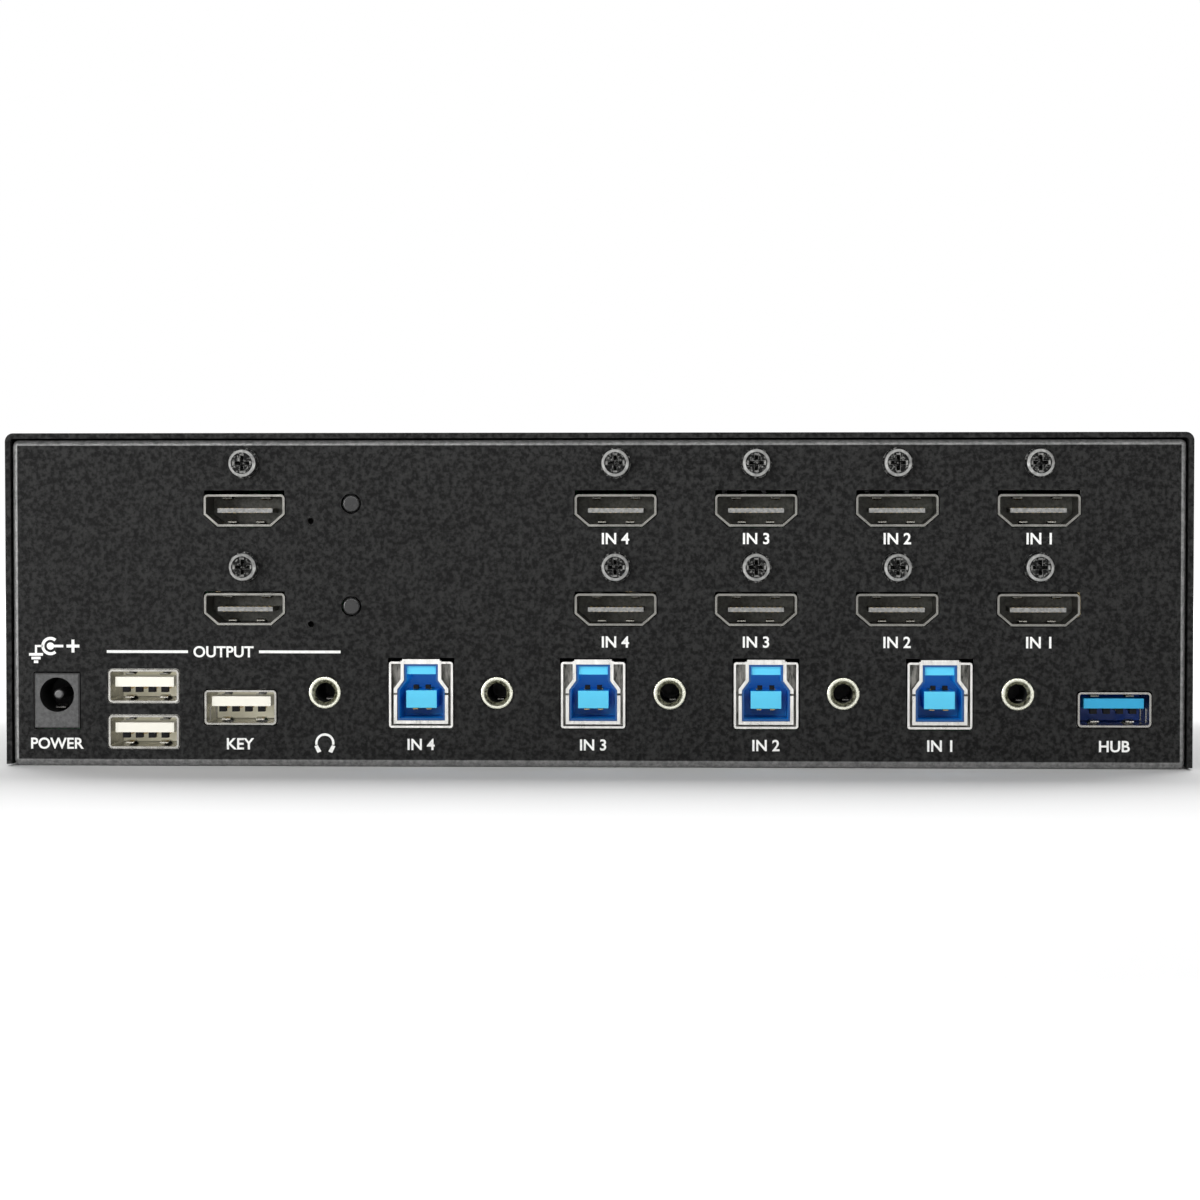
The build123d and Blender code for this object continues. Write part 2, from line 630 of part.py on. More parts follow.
def main_board():
    """Lower board: USB, audio and power."""
    width, depth = MAIN_SIZE
    low, high = MAIN_TOP - BOARD, MAIN_TOP
    board = block((-width / 2, width / 2), (-depth / 2, depth / 2), (low, high))
    board = fillet(board.edges().filter_by(Axis.Z), 1.5)
    board = board - block((STACK_X - 7.3, STACK_X + 7.3), (REAR, REAR + STACK_DEPTH + 1.6), (low - 1, high + 1))
    for x in (HUB_X, KEYBOARD_X):
        for slot in legs(x, USB_LEG_X, USB_LEGS, low - 1, high + 1, LEG_SPARE):
            board = board - slot
    for slot in legs(FRONT_USB_X, USB_LEG_X, FRONT_USB_LEGS, low - 1, high + 1, LEG_SPARE):
        board = board - slot
    for x in USB_B_X.values():
        for slot in legs(x, USB_B_LEG_X, USB_LEGS, low - 1, high + 1, LEG_SPARE):
            board = board - slot
    return drilled(board, SPOTS + MAIN_SPOTS)


def video_board(row):
    """Board that carries one row of HDMI ports."""
    low, high = BOARD_TOP[row] - BOARD, BOARD_TOP[row]
    board = block(VIDEO_X, VIDEO_Y, (low, high))
    board = fillet(board.edges().filter_by(Axis.Z), 1.5)
    for x in [*HDMI_X.values(), HDMI_OUT_X]:
        for slot in legs(x, HDMI_LEG_X, HDMI_LEGS, low - 1, high + 1, LEG_SPARE):
            board = board - slot
    return drilled(board, SPOTS)


def control_board():
    """Upright board behind the control panel."""
    board = block((-CONTROL_X, CONTROL_X), CONTROL_Y, CONTROL_Z)
    board = fillet(board.edges().filter_by(Axis.Y), 1.5)
    for x, z in CONTROL_SPOTS:
        board = board - rod(CLEARANCE_HOLE, x, z, CONTROL_Y[0] - 1, CONTROL_Y[1] + 1)
    return board


def standoff(length, stud_length, stud_radius):
    """Hexagonal spacer standing on z = 0, with a stud below and a threaded hole above."""
    body = extrude(RegularPolygon(HEX / 2, 6, major_radius=False), length)
    stud = post(stud_radius, 0, 0, -stud_length, 0.5)
    return body + stud - post(TAP, 0, 0, length - min(6.0, length - 0.8), length + 1)


def board_standoffs():
    """Every spacer between the bottom plate, the boards and the control panel."""
    placed = []
    base = standoff(MAIN_TOP - BOARD - SHEET, SHEET - 0.1, 2.05)
    for x, y in SPOTS + MAIN_SPOTS:
        placed.append(Pos(x, y, SHEET) * base)
    levels = (MAIN_TOP, BOARD_TOP["lower"], BOARD_TOP["upper"])
    for below, above in zip(levels, levels[1:]):
        spacer = standoff(above - BOARD - below, BOARD + 2.0, STUD)
        placed += [Pos(x, y, below) * spacer for x, y in SPOTS]
    front = standoff(FRONT_INSIDE - CONTROL_Y[1], 0.0, 1.0)
    for x, z in CONTROL_SPOTS:
        placed.append(Pos(x, FRONT_INSIDE, z) * Rot(90, 0, 0) * front)
    return group(placed)


def board_screws():
    """Pan-head screws on the top board, the main board and the control board."""
    head = fillet((Pos(0, 0, 1) * Cylinder(2.75, 2)).edges().sort_by(Axis.Z)[-1], 0.8)
    screw = head + post(STUD, 0, 0, -BOARD - 2.0, 0.5) - Pos(0, 0, 2) * cross_recess(3.0, 1.2)
    placed = [Pos(x, y, BOARD_TOP["upper"]) * screw for x, y in SPOTS]
    placed += [Pos(x, y, MAIN_TOP) * screw for x, y in MAIN_SPOTS]
    placed += [Pos(x, CONTROL_Y[0], z) * Rot(90, 0, 0) * screw for x, z in CONTROL_SPOTS]
    return group(placed)


def link_levels():
    """Top of the board below and bottom of the board above, for each link."""
    lower, upper = BOARD_TOP["lower"], BOARD_TOP["upper"]
    return [(MAIN_TOP, lower - BOARD), (lower, upper - BOARD)]


def board_link_sockets():
    """Slotted sockets on the board below."""
    sockets = []
    for low, _ in link_levels():
        body = centred(LINK_X, LINK_Y, low, LINK_SIZE)
        slot = centred(LINK_X, LINK_Y, low + LINK_SIZE[2] - 4, (LINK_SIZE[0] - 3, 2.4, 5))
        sockets.append(body - slot)
    return group(sockets)


def board_link_plugs():
    """Plugs under the board above, each with its blade in the socket."""
    plugs = []
    for low, high in link_levels():
        start = low + LINK_SIZE[2] + 0.3
        body = centred(LINK_X, LINK_Y, start, (LINK_SIZE[0], LINK_SIZE[1], high - start))
        plugs.append(body + centred(LINK_X, LINK_Y, start - 3.5, (LINK_SIZE[0] - 3.6, 2.0, 4)))
    return group(plugs)


def ribbon_headers():
    """Two box headers for the ribbon: one lies on the main board, one faces it from the front."""
    length, width, height = HEADER
    lying = centred(RIBBON_X, RIBBON_Y, MAIN_TOP, (length, width, height))
    facing = block(
        (RIBBON_X - length / 2, RIBBON_X + length / 2),
        (CONTROL_Y[0] - 3.4, CONTROL_Y[0]),
        (RIBBON_Z - width / 2, RIBBON_Z + width / 2),
    )
    return group([lying, facing])


def ribbon_cable():
    """Flat ribbon that rises from the main board and turns into the control board."""
    half = RIBBON_SIZE[1] / 2
    bend = 3.5
    bottom = MAIN_TOP + HEADER[2]
    end = CONTROL_Y[0] - 3.4
    width = (RIBBON_X - RIBBON_SIZE[0] / 2, RIBBON_X + RIBBON_SIZE[0] / 2)
    outer = block(width, (RIBBON_Y - half, end), (bottom, RIBBON_Z + half))
    corner = outer.edges().filter_by(Axis.X).sort_by(Axis.Z)[-2:].sort_by(Axis.Y)[0]
    outer = fillet(corner, bend + half)
    inner = block((width[0] - 1, width[1] + 1), (RIBBON_Y + half, end + 1), (bottom - 1, RIBBON_Z - half))
    corner = inner.edges().filter_by(Axis.X).sort_by(Axis.Z)[-2:].sort_by(Axis.Y)[0]
    return outer - fillet(corner, bend - half)


def integrated_circuits():
    """Chips of all three lying boards."""
    chips = [centred(x, y, MAIN_TOP, (side, side, CHIP_HEIGHT)) for x, y, side in MAIN_CHIPS]
    for top in BOARD_TOP.values():
        chips += [centred(x, y, top, (side, side, CHIP_HEIGHT)) for x, y, side in VIDEO_CHIPS]
    return group(chips)


def heat_sink():
    """Finned block standing on z = 0."""
    sink = centred(0, 0, 0, (SINK, SINK, SINK_BASE))
    step = (SINK - SINK_FIN) / (SINK_FINS - 1)
    for i in range(SINK_FINS):
        sink = sink + centred(i * step - (SINK - SINK_FIN) / 2, 0, 0, (SINK_FIN, SINK, SINK_HEIGHT))
    return sink


def heat_sinks():
    """One heat sink on each of the two large chips of both video boards."""
    placed = []
    for top in BOARD_TOP.values():
        placed += [Pos(x, y, top + CHIP_HEIGHT) * heat_sink() for x, y, _ in VIDEO_CHIPS[:2]]
    return group(placed)


def capacitors():
    """Upright can capacitors on the main board."""
    cans = []
    for x, y, radius, height in CAPACITORS:
        can = post(radius, x, y, MAIN_TOP, MAIN_TOP + height)
        cans.append(fillet(can.edges().sort_by(Axis.Z)[-1], 0.5))
    return group(cans)


def power_inductors():
    """Square moulded coils of the power supply."""
    side, height = COIL
    coils = [centred(x, y, MAIN_TOP, (side, side, height)) for x, y in COILS]
    return group([chamfer(coil.edges().filter_by(Axis.Z), 1.2) for coil in coils])


def buzzer():
    """Round sounder with a hole in its top."""
    x, y, radius, height = BUZZER
    return post(radius, x, y, MAIN_TOP, MAIN_TOP + height) - post(1.0, x, y, MAIN_TOP + height - 2, MAIN_TOP + height + 1)


# ---- All nodes ----
def enclosure_nodes():
    """Casing and what fastens it."""
    return {
        "chassis": chassis(),
        "top_cover": top_cover(),
        "cover_screws": cover_screws(),
        "front_overlay": front_overlay(),
    }


def hdmi_nodes():
    """Ports, tongues, lock screws and nuts."""
    places = hdmi_places()
    nodes = {name: hdmi_shell(x, row) for name, x, row in places}
    nodes["hdmi_tongues"] = group([hdmi_tongue(x, row) for _, x, row in places])
    nodes["hdmi_lock_screws"] = group([lock_screw(x, LOCK_Z[row]) for _, x, row in places])
    nodes["hdmi_lock_nuts"] = group([lock_nut(x, LOCK_Z[row]) for _, x, row in places])
    return nodes


def usb_nodes():
    """USB-B and USB-A ports."""
    nodes = {f"usb_b_shell_{n}": usb_b_shell(x) for n, x in USB_B_X.items()}
    nodes["usb_b_inserts"] = group([usb_b_insert(x) for x in USB_B_X.values()])
    nodes["usb_a_console_shell"] = usb_stack_shell()
    nodes["usb_a_keyboard_shell"] = usb_a_shell(KEYBOARD_X, -1)
    nodes["usb_a_hub_shell"] = usb_a_shell(HUB_X, -1)
    nodes["usb_a_front_shell"] = usb_a_shell(FRONT_USB_X, 1)
    white = [usb_a_tongue(STACK_X, z, STACK_MOUTH, 0.75, -1) for z in STACK_Z]
    white.append(usb_a_tongue(KEYBOARD_X, USB_A_Z, USB_A_SIZE, 1.1, -1))
    nodes["usb_a_white_tongues"] = group(white)
    blue = [usb_a_tongue(HUB_X, USB_A_Z, USB_A_SIZE, 1.1, -1)]
    blue.append(usb_a_tongue(FRONT_USB_X, USB_A_Z, USB_A_SIZE, 1.1, 1))
    nodes["usb_a_blue_tongues"] = group(blue)
    return nodes


def audio_and_power_nodes():
    """Jacks, their collars and the power socket."""
    nodes = {f"audio_jack_{n}": audio_jack(x) for n, x in JACK_X.items()}
    nodes["audio_jack_console"] = audio_jack(JACK_OUT_X)
    nodes["audio_jack_rings"] = group([audio_ring(x) for x in [*JACK_X.values(), JACK_OUT_X]])
    nodes["dc_jack_housing"] = dc_jack_housing()
    nodes["dc_jack_pin"] = dc_jack_pin()
    return nodes


def control_nodes():
    """Lamps, switches, plungers and buttons."""
    rows = list(LED_Z)
    switches = [reset_switch(row) for row in rows] + [button_switch(x) for x in BUTTON_X.values()]
    nodes = {
        "rear_lamps": group([rear_lamp(row) for row in rows]),
        "front_light_pipes": group([light_pipe(x) for x in LIGHT_X]),
        "switch_bodies": group(switches),
    }
    nodes.update({f"reset_plunger_{row}": reset_plunger(row) for row in rows})
    nodes.update({f"select_button_{n}": select_button(n) for n in INPUTS})
    return nodes


def board_nodes():
    """Circuit boards, their fastenings and components."""
    return {
        "main_board": main_board(),
        "lower_video_board": video_board("lower"),
        "upper_video_board": video_board("upper"),
        "control_board": control_board(),
        "board_standoffs": board_standoffs(),
        "board_screws": board_screws(),
        "board_link_sockets": board_link_sockets(),
        "board_link_plugs": board_link_plugs(),
        "ribbon_headers": ribbon_headers(),
        "ribbon_cable": ribbon_cable(),
        "integrated_circuits": integrated_circuits(),
        "heat_sinks": heat_sinks(),
        "capacitors": capacitors(),
        "power_inductors": power_inductors(),
        "buzzer": buzzer(),
    }


def main():
    """Write one STEP file for each node."""
    os.makedirs("parts", exist_ok=True)
    sections = (enclosure_nodes, hdmi_nodes, usb_nodes, audio_and_power_nodes, control_nodes, board_nodes)
    for section in sections:
        for name, shape in section().items():
            export_step(shape, f"parts/{name}.step")


main()
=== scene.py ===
import math

import bmesh
import bpy
from mathutils import Matrix, Vector


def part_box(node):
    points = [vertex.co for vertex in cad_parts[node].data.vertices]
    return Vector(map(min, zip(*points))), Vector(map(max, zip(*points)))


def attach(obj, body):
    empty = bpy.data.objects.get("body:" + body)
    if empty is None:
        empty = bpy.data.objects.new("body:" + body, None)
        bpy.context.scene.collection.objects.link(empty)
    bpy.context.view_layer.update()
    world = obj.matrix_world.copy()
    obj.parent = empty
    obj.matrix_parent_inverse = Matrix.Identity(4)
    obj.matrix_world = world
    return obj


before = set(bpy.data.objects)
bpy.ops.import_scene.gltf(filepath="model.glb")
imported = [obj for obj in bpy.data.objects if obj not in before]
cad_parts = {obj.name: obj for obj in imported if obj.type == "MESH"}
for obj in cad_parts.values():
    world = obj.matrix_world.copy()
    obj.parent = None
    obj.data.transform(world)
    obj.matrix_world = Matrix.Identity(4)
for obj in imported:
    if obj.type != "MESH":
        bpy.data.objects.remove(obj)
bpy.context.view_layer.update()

ROOT = "switch_box"
MM = 0.001
INPUTS = (1, 2, 3, 4)
ROWS = ("upper", "lower")
HDMI_NODES = [f"hdmi_in_{n}_{row}" for row in ROWS for n in INPUTS] + [f"hdmi_out_{row}" for row in ROWS]
USB_B_NODES = [f"usb_b_shell_{n}" for n in INPUTS]
USB_A_NODES = ["usb_a_keyboard_shell", "usb_a_hub_shell", "usb_a_front_shell"]
JACK_NODES = [f"audio_jack_{n}" for n in INPUTS] + ["audio_jack_console"]


# ---- Where things are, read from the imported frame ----
def centre(node):
    """Middle of a CAD node's box."""
    low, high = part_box(node)
    return (Vector(low) + Vector(high)) / 2


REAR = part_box("chassis")[0][1]           # outer face of the connector panel
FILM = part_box("front_overlay")[1][1]     # outer face of the control panel's film
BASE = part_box("chassis")[0][2]
PRINT = 0.03 * MM                        # thickness of the printed ink
HDMI_HALF = 2.95 * MM                    # half height of an HDMI mouth
USB_A_HALF = 3.2 * MM                    # half height of a single USB-A mouth
STACK_HALF = 3.05 * MM                   # half height of a mouth in the stack of two
TONGUE_LOW = {USB_A_HALF: 0.2 * MM, STACK_HALF: -0.15 * MM}     # underside of the tongue above the middle
POWDER = [(0.42, (0.0005, 0.0005, 0.0005)), (0.6, (0.0225, 0.0225, 0.022))]     # pits and crests


# ---- Shader helpers ----
class Shader:
    """One node material, built around a Principled shader."""

    def __init__(self, name, colour, metallic=0.0, roughness=0.5, specular=0.5):
        self.material = bpy.data.materials.new(name)
        self.material.use_nodes = True
        self.tree = self.material.node_tree
        self.surface = self.tree.nodes["Principled BSDF"]
        self.set("Base Color", (*colour, 1.0))
        self.set("Metallic", metallic)
        self.set("Roughness", roughness)
        self.set("Specular IOR Level", specular)
        self.place = self.tree.nodes.new("ShaderNodeTexCoord").outputs["Object"]
        self.normal = None

    def set(self, socket, value):
        """Set one constant on the Principled shader."""
        self.surface.inputs[socket].default_value = value

    def link(self, source, socket):
        """Drive one input of the Principled shader."""
        self.tree.links.new(source, self.surface.inputs[socket])

    def stretched(self, scale):
        """Object coordinates scaled by axis."""
        mapping = self.tree.nodes.new("ShaderNodeMapping")
        mapping.inputs["Scale"].default_value = scale
        self.tree.links.new(self.place, mapping.inputs["Vector"])
        return mapping.outputs["Vector"]

    def noise(self, scale, detail=3.0, rough=0.55, vector=None):
        """Noise value at a scale in features per metre."""
        node = self.tree.nodes.new("ShaderNodeTexNoise")
        node.inputs["Scale"].default_value = scale
        node.inputs["Detail"].default_value = detail
        node.inputs["Roughness"].default_value = rough
        self.tree.links.new(vector or self.place, node.inputs["Vector"])
        return node.outputs["Fac"]

    def cells(self, scale):
        """Distance to the middle of small random cells."""
        node = self.tree.nodes.new("ShaderNodeTexVoronoi")
        node.inputs["Scale"].default_value = scale
        self.tree.links.new(self.place, node.inputs["Vector"])
        return node.outputs["Distance"]

    def axis(self, name):
        """One object coordinate in metres."""
        node = self.tree.nodes.new("ShaderNodeSeparateXYZ")
        self.tree.links.new(self.place, node.inputs["Vector"])
        return node.outputs[name]

    def depth(self, low, high):
        """How far in a point is from the nearer of the two panels, between two depths."""
        node = self.tree.nodes.new("ShaderNodeMath")
        node.operation = "ABSOLUTE"
        self.tree.links.new(self.axis("Y"), node.inputs[0])
        return self.remap(node.outputs["Value"], -REAR - low, -REAR - high)

    def remap(self, value, low, high, out_low=0.0, out_high=1.0):
        """Linear change of range, clamped."""
        node = self.tree.nodes.new("ShaderNodeMapRange")
        self.tree.links.new(value, node.inputs["Value"])
        limits = {"From Min": low, "From Max": high, "To Min": out_low, "To Max": out_high}
        for socket, number in limits.items():
            node.inputs[socket].default_value = number
        return node.outputs["Result"]

    def mixed(self, factor, first, second):
        """Blend of two colours."""
        node = self.tree.nodes.new("ShaderNodeMix")
        node.data_type = "RGBA"
        self.tree.links.new(factor, node.inputs["Factor"])
        self.tree.links.new(first, node.inputs[6])
        self.tree.links.new(second, node.inputs[7])
        return node.outputs[2]

    def band(self, low, high, stops):
        """Value that varies with Y between two places, through (position, value) stops."""
        along = self.remap(self.axis("Y"), low, high)
        return self.ramp(along, [(position, (value, value, value)) for position, value in stops])

    def ramp(self, value, stops):
        """Colour ramp through (position, colour) stops."""
        node = self.tree.nodes.new("ShaderNodeValToRGB")
        self.tree.links.new(value, node.inputs["Fac"])
        elements = node.color_ramp.elements
        while len(elements) < len(stops):
            elements.new(0.5)
        for element, (position, colour) in zip(elements, stops):
            element.position = position
            element.color = (*colour, 1.0)
        return node.outputs["Color"]

    def bump(self, height, strength, distance):
        """Add one layer of bump over those already there."""
        node = self.tree.nodes.new("ShaderNodeBump")
        node.inputs["Strength"].default_value = strength
        node.inputs["Distance"].default_value = distance
        self.tree.links.new(height, node.inputs["Height"])
        if self.normal:
            self.tree.links.new(self.normal, node.inputs["Normal"])
        self.normal = node.outputs["Normal"]
        self.link(self.normal, "Normal")


# ---- Materials ----
def pebbled(shader, grain):
    """Add the relief of powder coat."""
    shader.bump(grain, 0.7, 0.25 * MM)
    shader.bump(shader.cells(2600.0), 0.2, 0.08 * MM)


def powder_coat():
    """Black powder coat with a fine pebbled grain."""
    shader = Shader("black_powder_coat", (0.02, 0.02, 0.02), roughness=0.58, specular=0.16)
    grain = shader.noise(1150.0, 5.0, 0.7)
    shader.link(shader.ramp(grain, POWDER), "Base Color")
    shader.link(shader.remap(grain, 0.3, 0.7, 0.66, 0.5), "Roughness")
    pebbled(shader, grain)
    return shader.material


def folded_coat():
    """The same powder coat, smoother and partly metallic over the folds of the connector panel, where its
    colour is lightened as a painted highlight.
    """
    shader = Shader("folded_powder_coat", (0.02, 0.02, 0.02), roughness=0.58, specular=0.16)
    grain = shader.noise(1150.0, 5.0, 0.7)
    stops = [(0.0, 0.0), (0.008, 1.0), (0.7, 1.0), (1.0, 0.0)]
    fold = shader.band(REAR + 0.002 * MM, REAR + 1.7 * MM, stops)
    # Painted highlight: the folds are coloured lighter to stand in for the light their rounded edges catch.
    painted_fold_highlight = shader.ramp(grain, [(0.36, (0.14, 0.14, 0.14)), (0.64, (0.28, 0.28, 0.275))])
    shader.link(shader.mixed(fold, shader.ramp(grain, POWDER), painted_fold_highlight), "Base Color")
    shader.link(shader.remap(fold, 0.0, 1.0, 0.58, 0.34), "Roughness")
    shader.link(shader.remap(fold, 0.0, 1.0, 0.0, 0.55), "Metallic")
    pebbled(shader, grain)
    return shader.material


def plated_steel(name, colour, rough=(0.2, 0.36)):
    """Stamped steel with plating: cloudy gloss and fine drawing marks."""
    shader = Shader(name, colour, metallic=1.0, roughness=rough[0])
    cloud = shader.noise(500.0, 4.0, 0.6)
    shader.link(shader.remap(cloud, 0.3, 0.7, *rough), "Roughness")
    darker = tuple(0.78 * c for c in colour)
    shader.link(shader.ramp(cloud, [(0.3, darker), (0.7, colour)]), "Base Color")
    drawn = shader.noise(1500.0, 2.0, 0.5, shader.stretched((1.0, 0.06, 1.0)))
    shader.bump(drawn, 0.12, 0.05 * MM)
    return shader.material


def screw_steel():
    """Black-plated steel whose bevel carries a painted highlight: bright colour all round it, standing in
    for light the lamps don't give it.
    """
    shader = Shader("black_screw_plating", (0.3, 0.3, 0.29), metallic=0.8, roughness=0.3)
    highlight_mottle = shader.noise(1100.0, 2.0, 0.5)
    fleck = shader.noise(2600.0, 2.0, 0.6)
    plated = shader.ramp(fleck, [(0.52, (0.008, 0.008, 0.008)), (0.72, (0.26, 0.26, 0.25))])
    # Painted highlight: the bevel's bright, mottled colour stands in for light that no lamp sends there.
    painted_bevel_highlight = shader.ramp(highlight_mottle, [(0.35, (0.4, 0.4, 0.39)), (0.7, (0.7, 0.7, 0.68))])
    bevel = shader.band(REAR - 2.6 * MM, REAR - 2.0 * MM, [(0.0, 0.0), (0.08, 1.0), (0.8, 1.0), (1.0, 0.0)])
    shader.link(shader.mixed(bevel, plated, painted_bevel_highlight), "Base Color")
    shader.link(shader.remap(bevel, 0.0, 1.0, 0.9, 0.45), "Metallic")
    shader.bump(shader.noise(3000.0, 2.0), 0.06, 0.03 * MM)
    return shader.material


def can_steel():
    """Plated can of a USB-B port: bright at its rims and streaked, with painted shade further in, where its
    colour darkens with depth.
    """
    shader = Shader("can_plating", (0.6, 0.59, 0.56), metallic=1.0, roughness=0.3)
    streak = shader.noise(900.0, 4.0, 0.65, shader.stretched((1.6, 1.0, 0.35)))
    rim = shader.ramp(streak, [(0.3, (0.72, 0.71, 0.68)), (0.7, (0.92, 0.91, 0.88))])
    # Painted shade: the colour deeper in the port is darkened to stand in for the shade there.
    painted_trough_shade = shader.ramp(streak, [(0.38, (0.06, 0.06, 0.055)), (0.62, (0.32, 0.31, 0.29))])
    depth = shader.band(REAR - 0.1 * MM, REAR + 2.0 * MM, [(0.0, 0.0), (0.03, 0.0), (0.2, 1.0)])
    shader.link(shader.mixed(depth, rim, painted_trough_shade), "Base Color")
    shader.link(shader.remap(streak, 0.3, 0.7, 0.24, 0.42), "Roughness")
    shader.bump(streak, 0.12, 0.05 * MM)
    return shader.material


def socket_plastic():
    """Dark grey moulding whose socket is coloured near black further in, as painted shade."""
    shader = Shader("socket_moulding", (0.06, 0.06, 0.06), roughness=0.42, specular=0.4)
    skin = shader.noise(1800.0, 3.0, 0.6)
    face = shader.ramp(skin, [(0.35, (0.045, 0.045, 0.045)), (0.65, (0.085, 0.085, 0.085))])
    # Painted shade: the bore's near-black colour stands in for the shade deep in the socket.
    painted_bore_shade = shader.ramp(skin, [(0.35, (0.003, 0.003, 0.003)), (0.65, (0.008, 0.008, 0.008))])
    depth = shader.band(REAR - 0.2 * MM, REAR + 1.0 * MM, [(0.0, 0.0), (0.25, 0.0), (0.5, 1.0)])
    shader.link(shader.mixed(depth, face, painted_bore_shade), "Base Color")
    shader.link(shader.remap(depth, 0.0, 1.0, 0.4, 0.6), "Roughness")
    shader.bump(skin, 0.18, 0.05 * MM)
    return shader.material


def collar_nickel():
    """Pale nickel: bright on the rim, mottled, and darkened down the inner slope as painted shade."""
    shader = Shader("collar_nickel", (0.9, 0.9, 0.76), metallic=1.0, roughness=0.26)
    stain = shader.noise(1900.0, 3.0, 0.6)
    # Painted shade: the darker colour down the inner slope stands in for the shade inside the jack.
    painted_cone_shade = shader.ramp(stain, [(0.38, (0.1, 0.1, 0.07)), (0.62, (0.5, 0.5, 0.38))])
    rim = shader.ramp(stain, [(0.3, (0.8, 0.8, 0.66)), (0.7, (0.95, 0.95, 0.82))])
    depth = shader.band(REAR - 0.1 * MM, REAR + 0.5 * MM, [(0.0, 0.0), (0.16, 0.0), (0.3, 1.0)])
    shader.link(shader.mixed(depth, rim, painted_cone_shade), "Base Color")
    shader.link(shader.remap(stain, 0.3, 0.7, 0.2, 0.36), "Roughness")
    shader.bump(stain, 0.1, 0.04 * MM)
    return shader.material


def contact_block():
    """Contact block: its tongue's tip coloured pale as painted light, and the rest of it coloured dark as
    painted shade further in.
    """
    shader = Shader("contact_block", (0.3, 0.3, 0.28), roughness=0.45, specular=0.4)
    skin = shader.noise(1800.0, 3.0, 0.6)
    # Painted light and shade: the pale tip stands in for the light on it, the dark root for the shade deeper
    # in the mouth.
    tip = shader.ramp(skin, [(0.35, (0.17, 0.17, 0.165)), (0.65, (0.3, 0.3, 0.29))])
    root = shader.ramp(skin, [(0.35, (0.05, 0.05, 0.042)), (0.65, (0.11, 0.11, 0.095))])
    depth = shader.band(REAR + 0.9 * MM, REAR + 2.4 * MM, [(0.0, 0.0), (0.2, 0.0), (0.6, 1.0)])
    shader.link(shader.mixed(depth, tip, root), "Base Color")
    shader.bump(skin, 0.15, 0.04 * MM)
    return shader.material


def moulded(name, dark, light, roughness=0.45, specular=0.4, texture=1800.0):
    """Moulded plastic with a fine spark-eroded skin."""
    shader = Shader(name, light, roughness=roughness, specular=specular)
    skin = shader.noise(texture, 3.0, 0.6)
    shader.link(shader.ramp(skin, [(0.35, dark), (0.65, light)]), "Base Color")
    shader.link(shader.remap(skin, 0.3, 0.7, roughness - 0.08, roughness + 0.1), "Roughness")
    shader.bump(skin, 0.18, 0.05 * MM)
    return shader.material


def deep_plastic(name, stops, painted_glow, rise=None):
    """Moulded plastic whose colour changes with depth as painted light and shade, with a painted emission
    that stands in for light seeping through it.

    The painted emission rises with depth, or with height where rise gives the two heights.
    """
    shader = Shader(name, stops[0][1], roughness=0.35, specular=0.5)
    depth = shader.depth(0.1 * MM, 8.1 * MM)
    colour = shader.ramp(depth, stops)
    shader.link(colour, "Base Color")
    # Painted light: the emission makes the plastic shine where the lamps leave it dark, though it is no
    # lamp.
    shader.link(colour, "Emission Color")
    if rise:
        strength = shader.remap(shader.axis("Z"), *rise, 0.0, painted_glow)
    else:
        strength = shader.remap(depth, 0.0, 1.0, 0.0, painted_glow)
    shader.link(strength, "Emission Strength")
    shader.bump(shader.noise(1600.0, 2.0), 0.1, 0.04 * MM)
    return shader.material


def printed_ink():
    """White screen print, slightly uneven."""
    shader = Shader("white_ink", (0.86, 0.86, 0.84), roughness=0.6, specular=0.3)
    patch = shader.noise(2500.0, 3.0, 0.6)
    shader.link(shader.ramp(patch, [(0.3, (0.74, 0.74, 0.72)), (0.6, (0.9, 0.9, 0.88))]), "Base Color")
    shader.bump(patch, 0.15, 0.02 * MM)
    return shader.material


def circuit_board():
    """Green solder mask with copper traces showing through as lighter lines."""
    shader = Shader("solder_mask", (0.01, 0.09, 0.03), roughness=0.32, specular=0.5)
    wave = shader.tree.nodes.new("ShaderNodeTexWave")
    wave.wave_profile = "TRI"
    wave.inputs["Scale"].default_value = 260.0
    wave.inputs["Distortion"].default_value = 5.0
    wave.inputs["Detail"].default_value = 1.0
    shader.tree.links.new(shader.place, wave.inputs["Vector"])
    trace = wave.outputs["Fac"]
    shader.link(shader.ramp(trace, [(0.55, (0.006, 0.07, 0.022)), (0.62, (0.02, 0.15, 0.05))]), "Base Color")
    shader.bump(trace, 0.2, 0.03 * MM)
    return shader.material


def chip_plastic():
    """Black moulding compound with a faint grain."""
    return moulded("moulding_compound", (0.012, 0.012, 0.012), (0.03, 0.03, 0.031), 0.5, 0.35, 2400.0)


def ribbon_plastic():
    """Grey flat ribbon, ribbed by its conductors."""
    shader = Shader("ribbon_vinyl", (0.35, 0.35, 0.37), roughness=0.5)
    rib = shader.tree.nodes.new("ShaderNodeTexWave")
    rib.bands_direction = "X"
    rib.inputs["Scale"].default_value = 250.0
    shader.tree.links.new(shader.place, rib.inputs["Vector"])
    shader.bump(rib.outputs["Fac"], 0.6, 0.2 * MM)
    tones = [(0.2, (0.25, 0.25, 0.27)), (0.8, (0.42, 0.42, 0.44))]
    shader.link(shader.ramp(rib.outputs["Fac"], tones), "Base Color")
    return shader.material


def film_plastic():
    """Satin black printed film."""
    shader = Shader("overlay_film", (0.012, 0.012, 0.013), roughness=0.3, specular=0.4)
    velvet = shader.noise(3200.0, 2.0, 0.5)
    shader.link(shader.remap(velvet, 0.3, 0.7, 0.26, 0.4), "Roughness")
    shader.bump(velvet, 0.1, 0.02 * MM)
    return shader.material


def lens_plastic(name, colour):
    """Smooth tinted lens."""
    shader = Shader(name, colour, roughness=0.25, specular=0.5)
    shader.set("Transmission Weight", 0.2)
    swirl = shader.noise(500.0, 1.0)
    shader.link(shader.remap(swirl, 0.3, 0.7, 0.22, 0.28), "Roughness")
    return shader.material


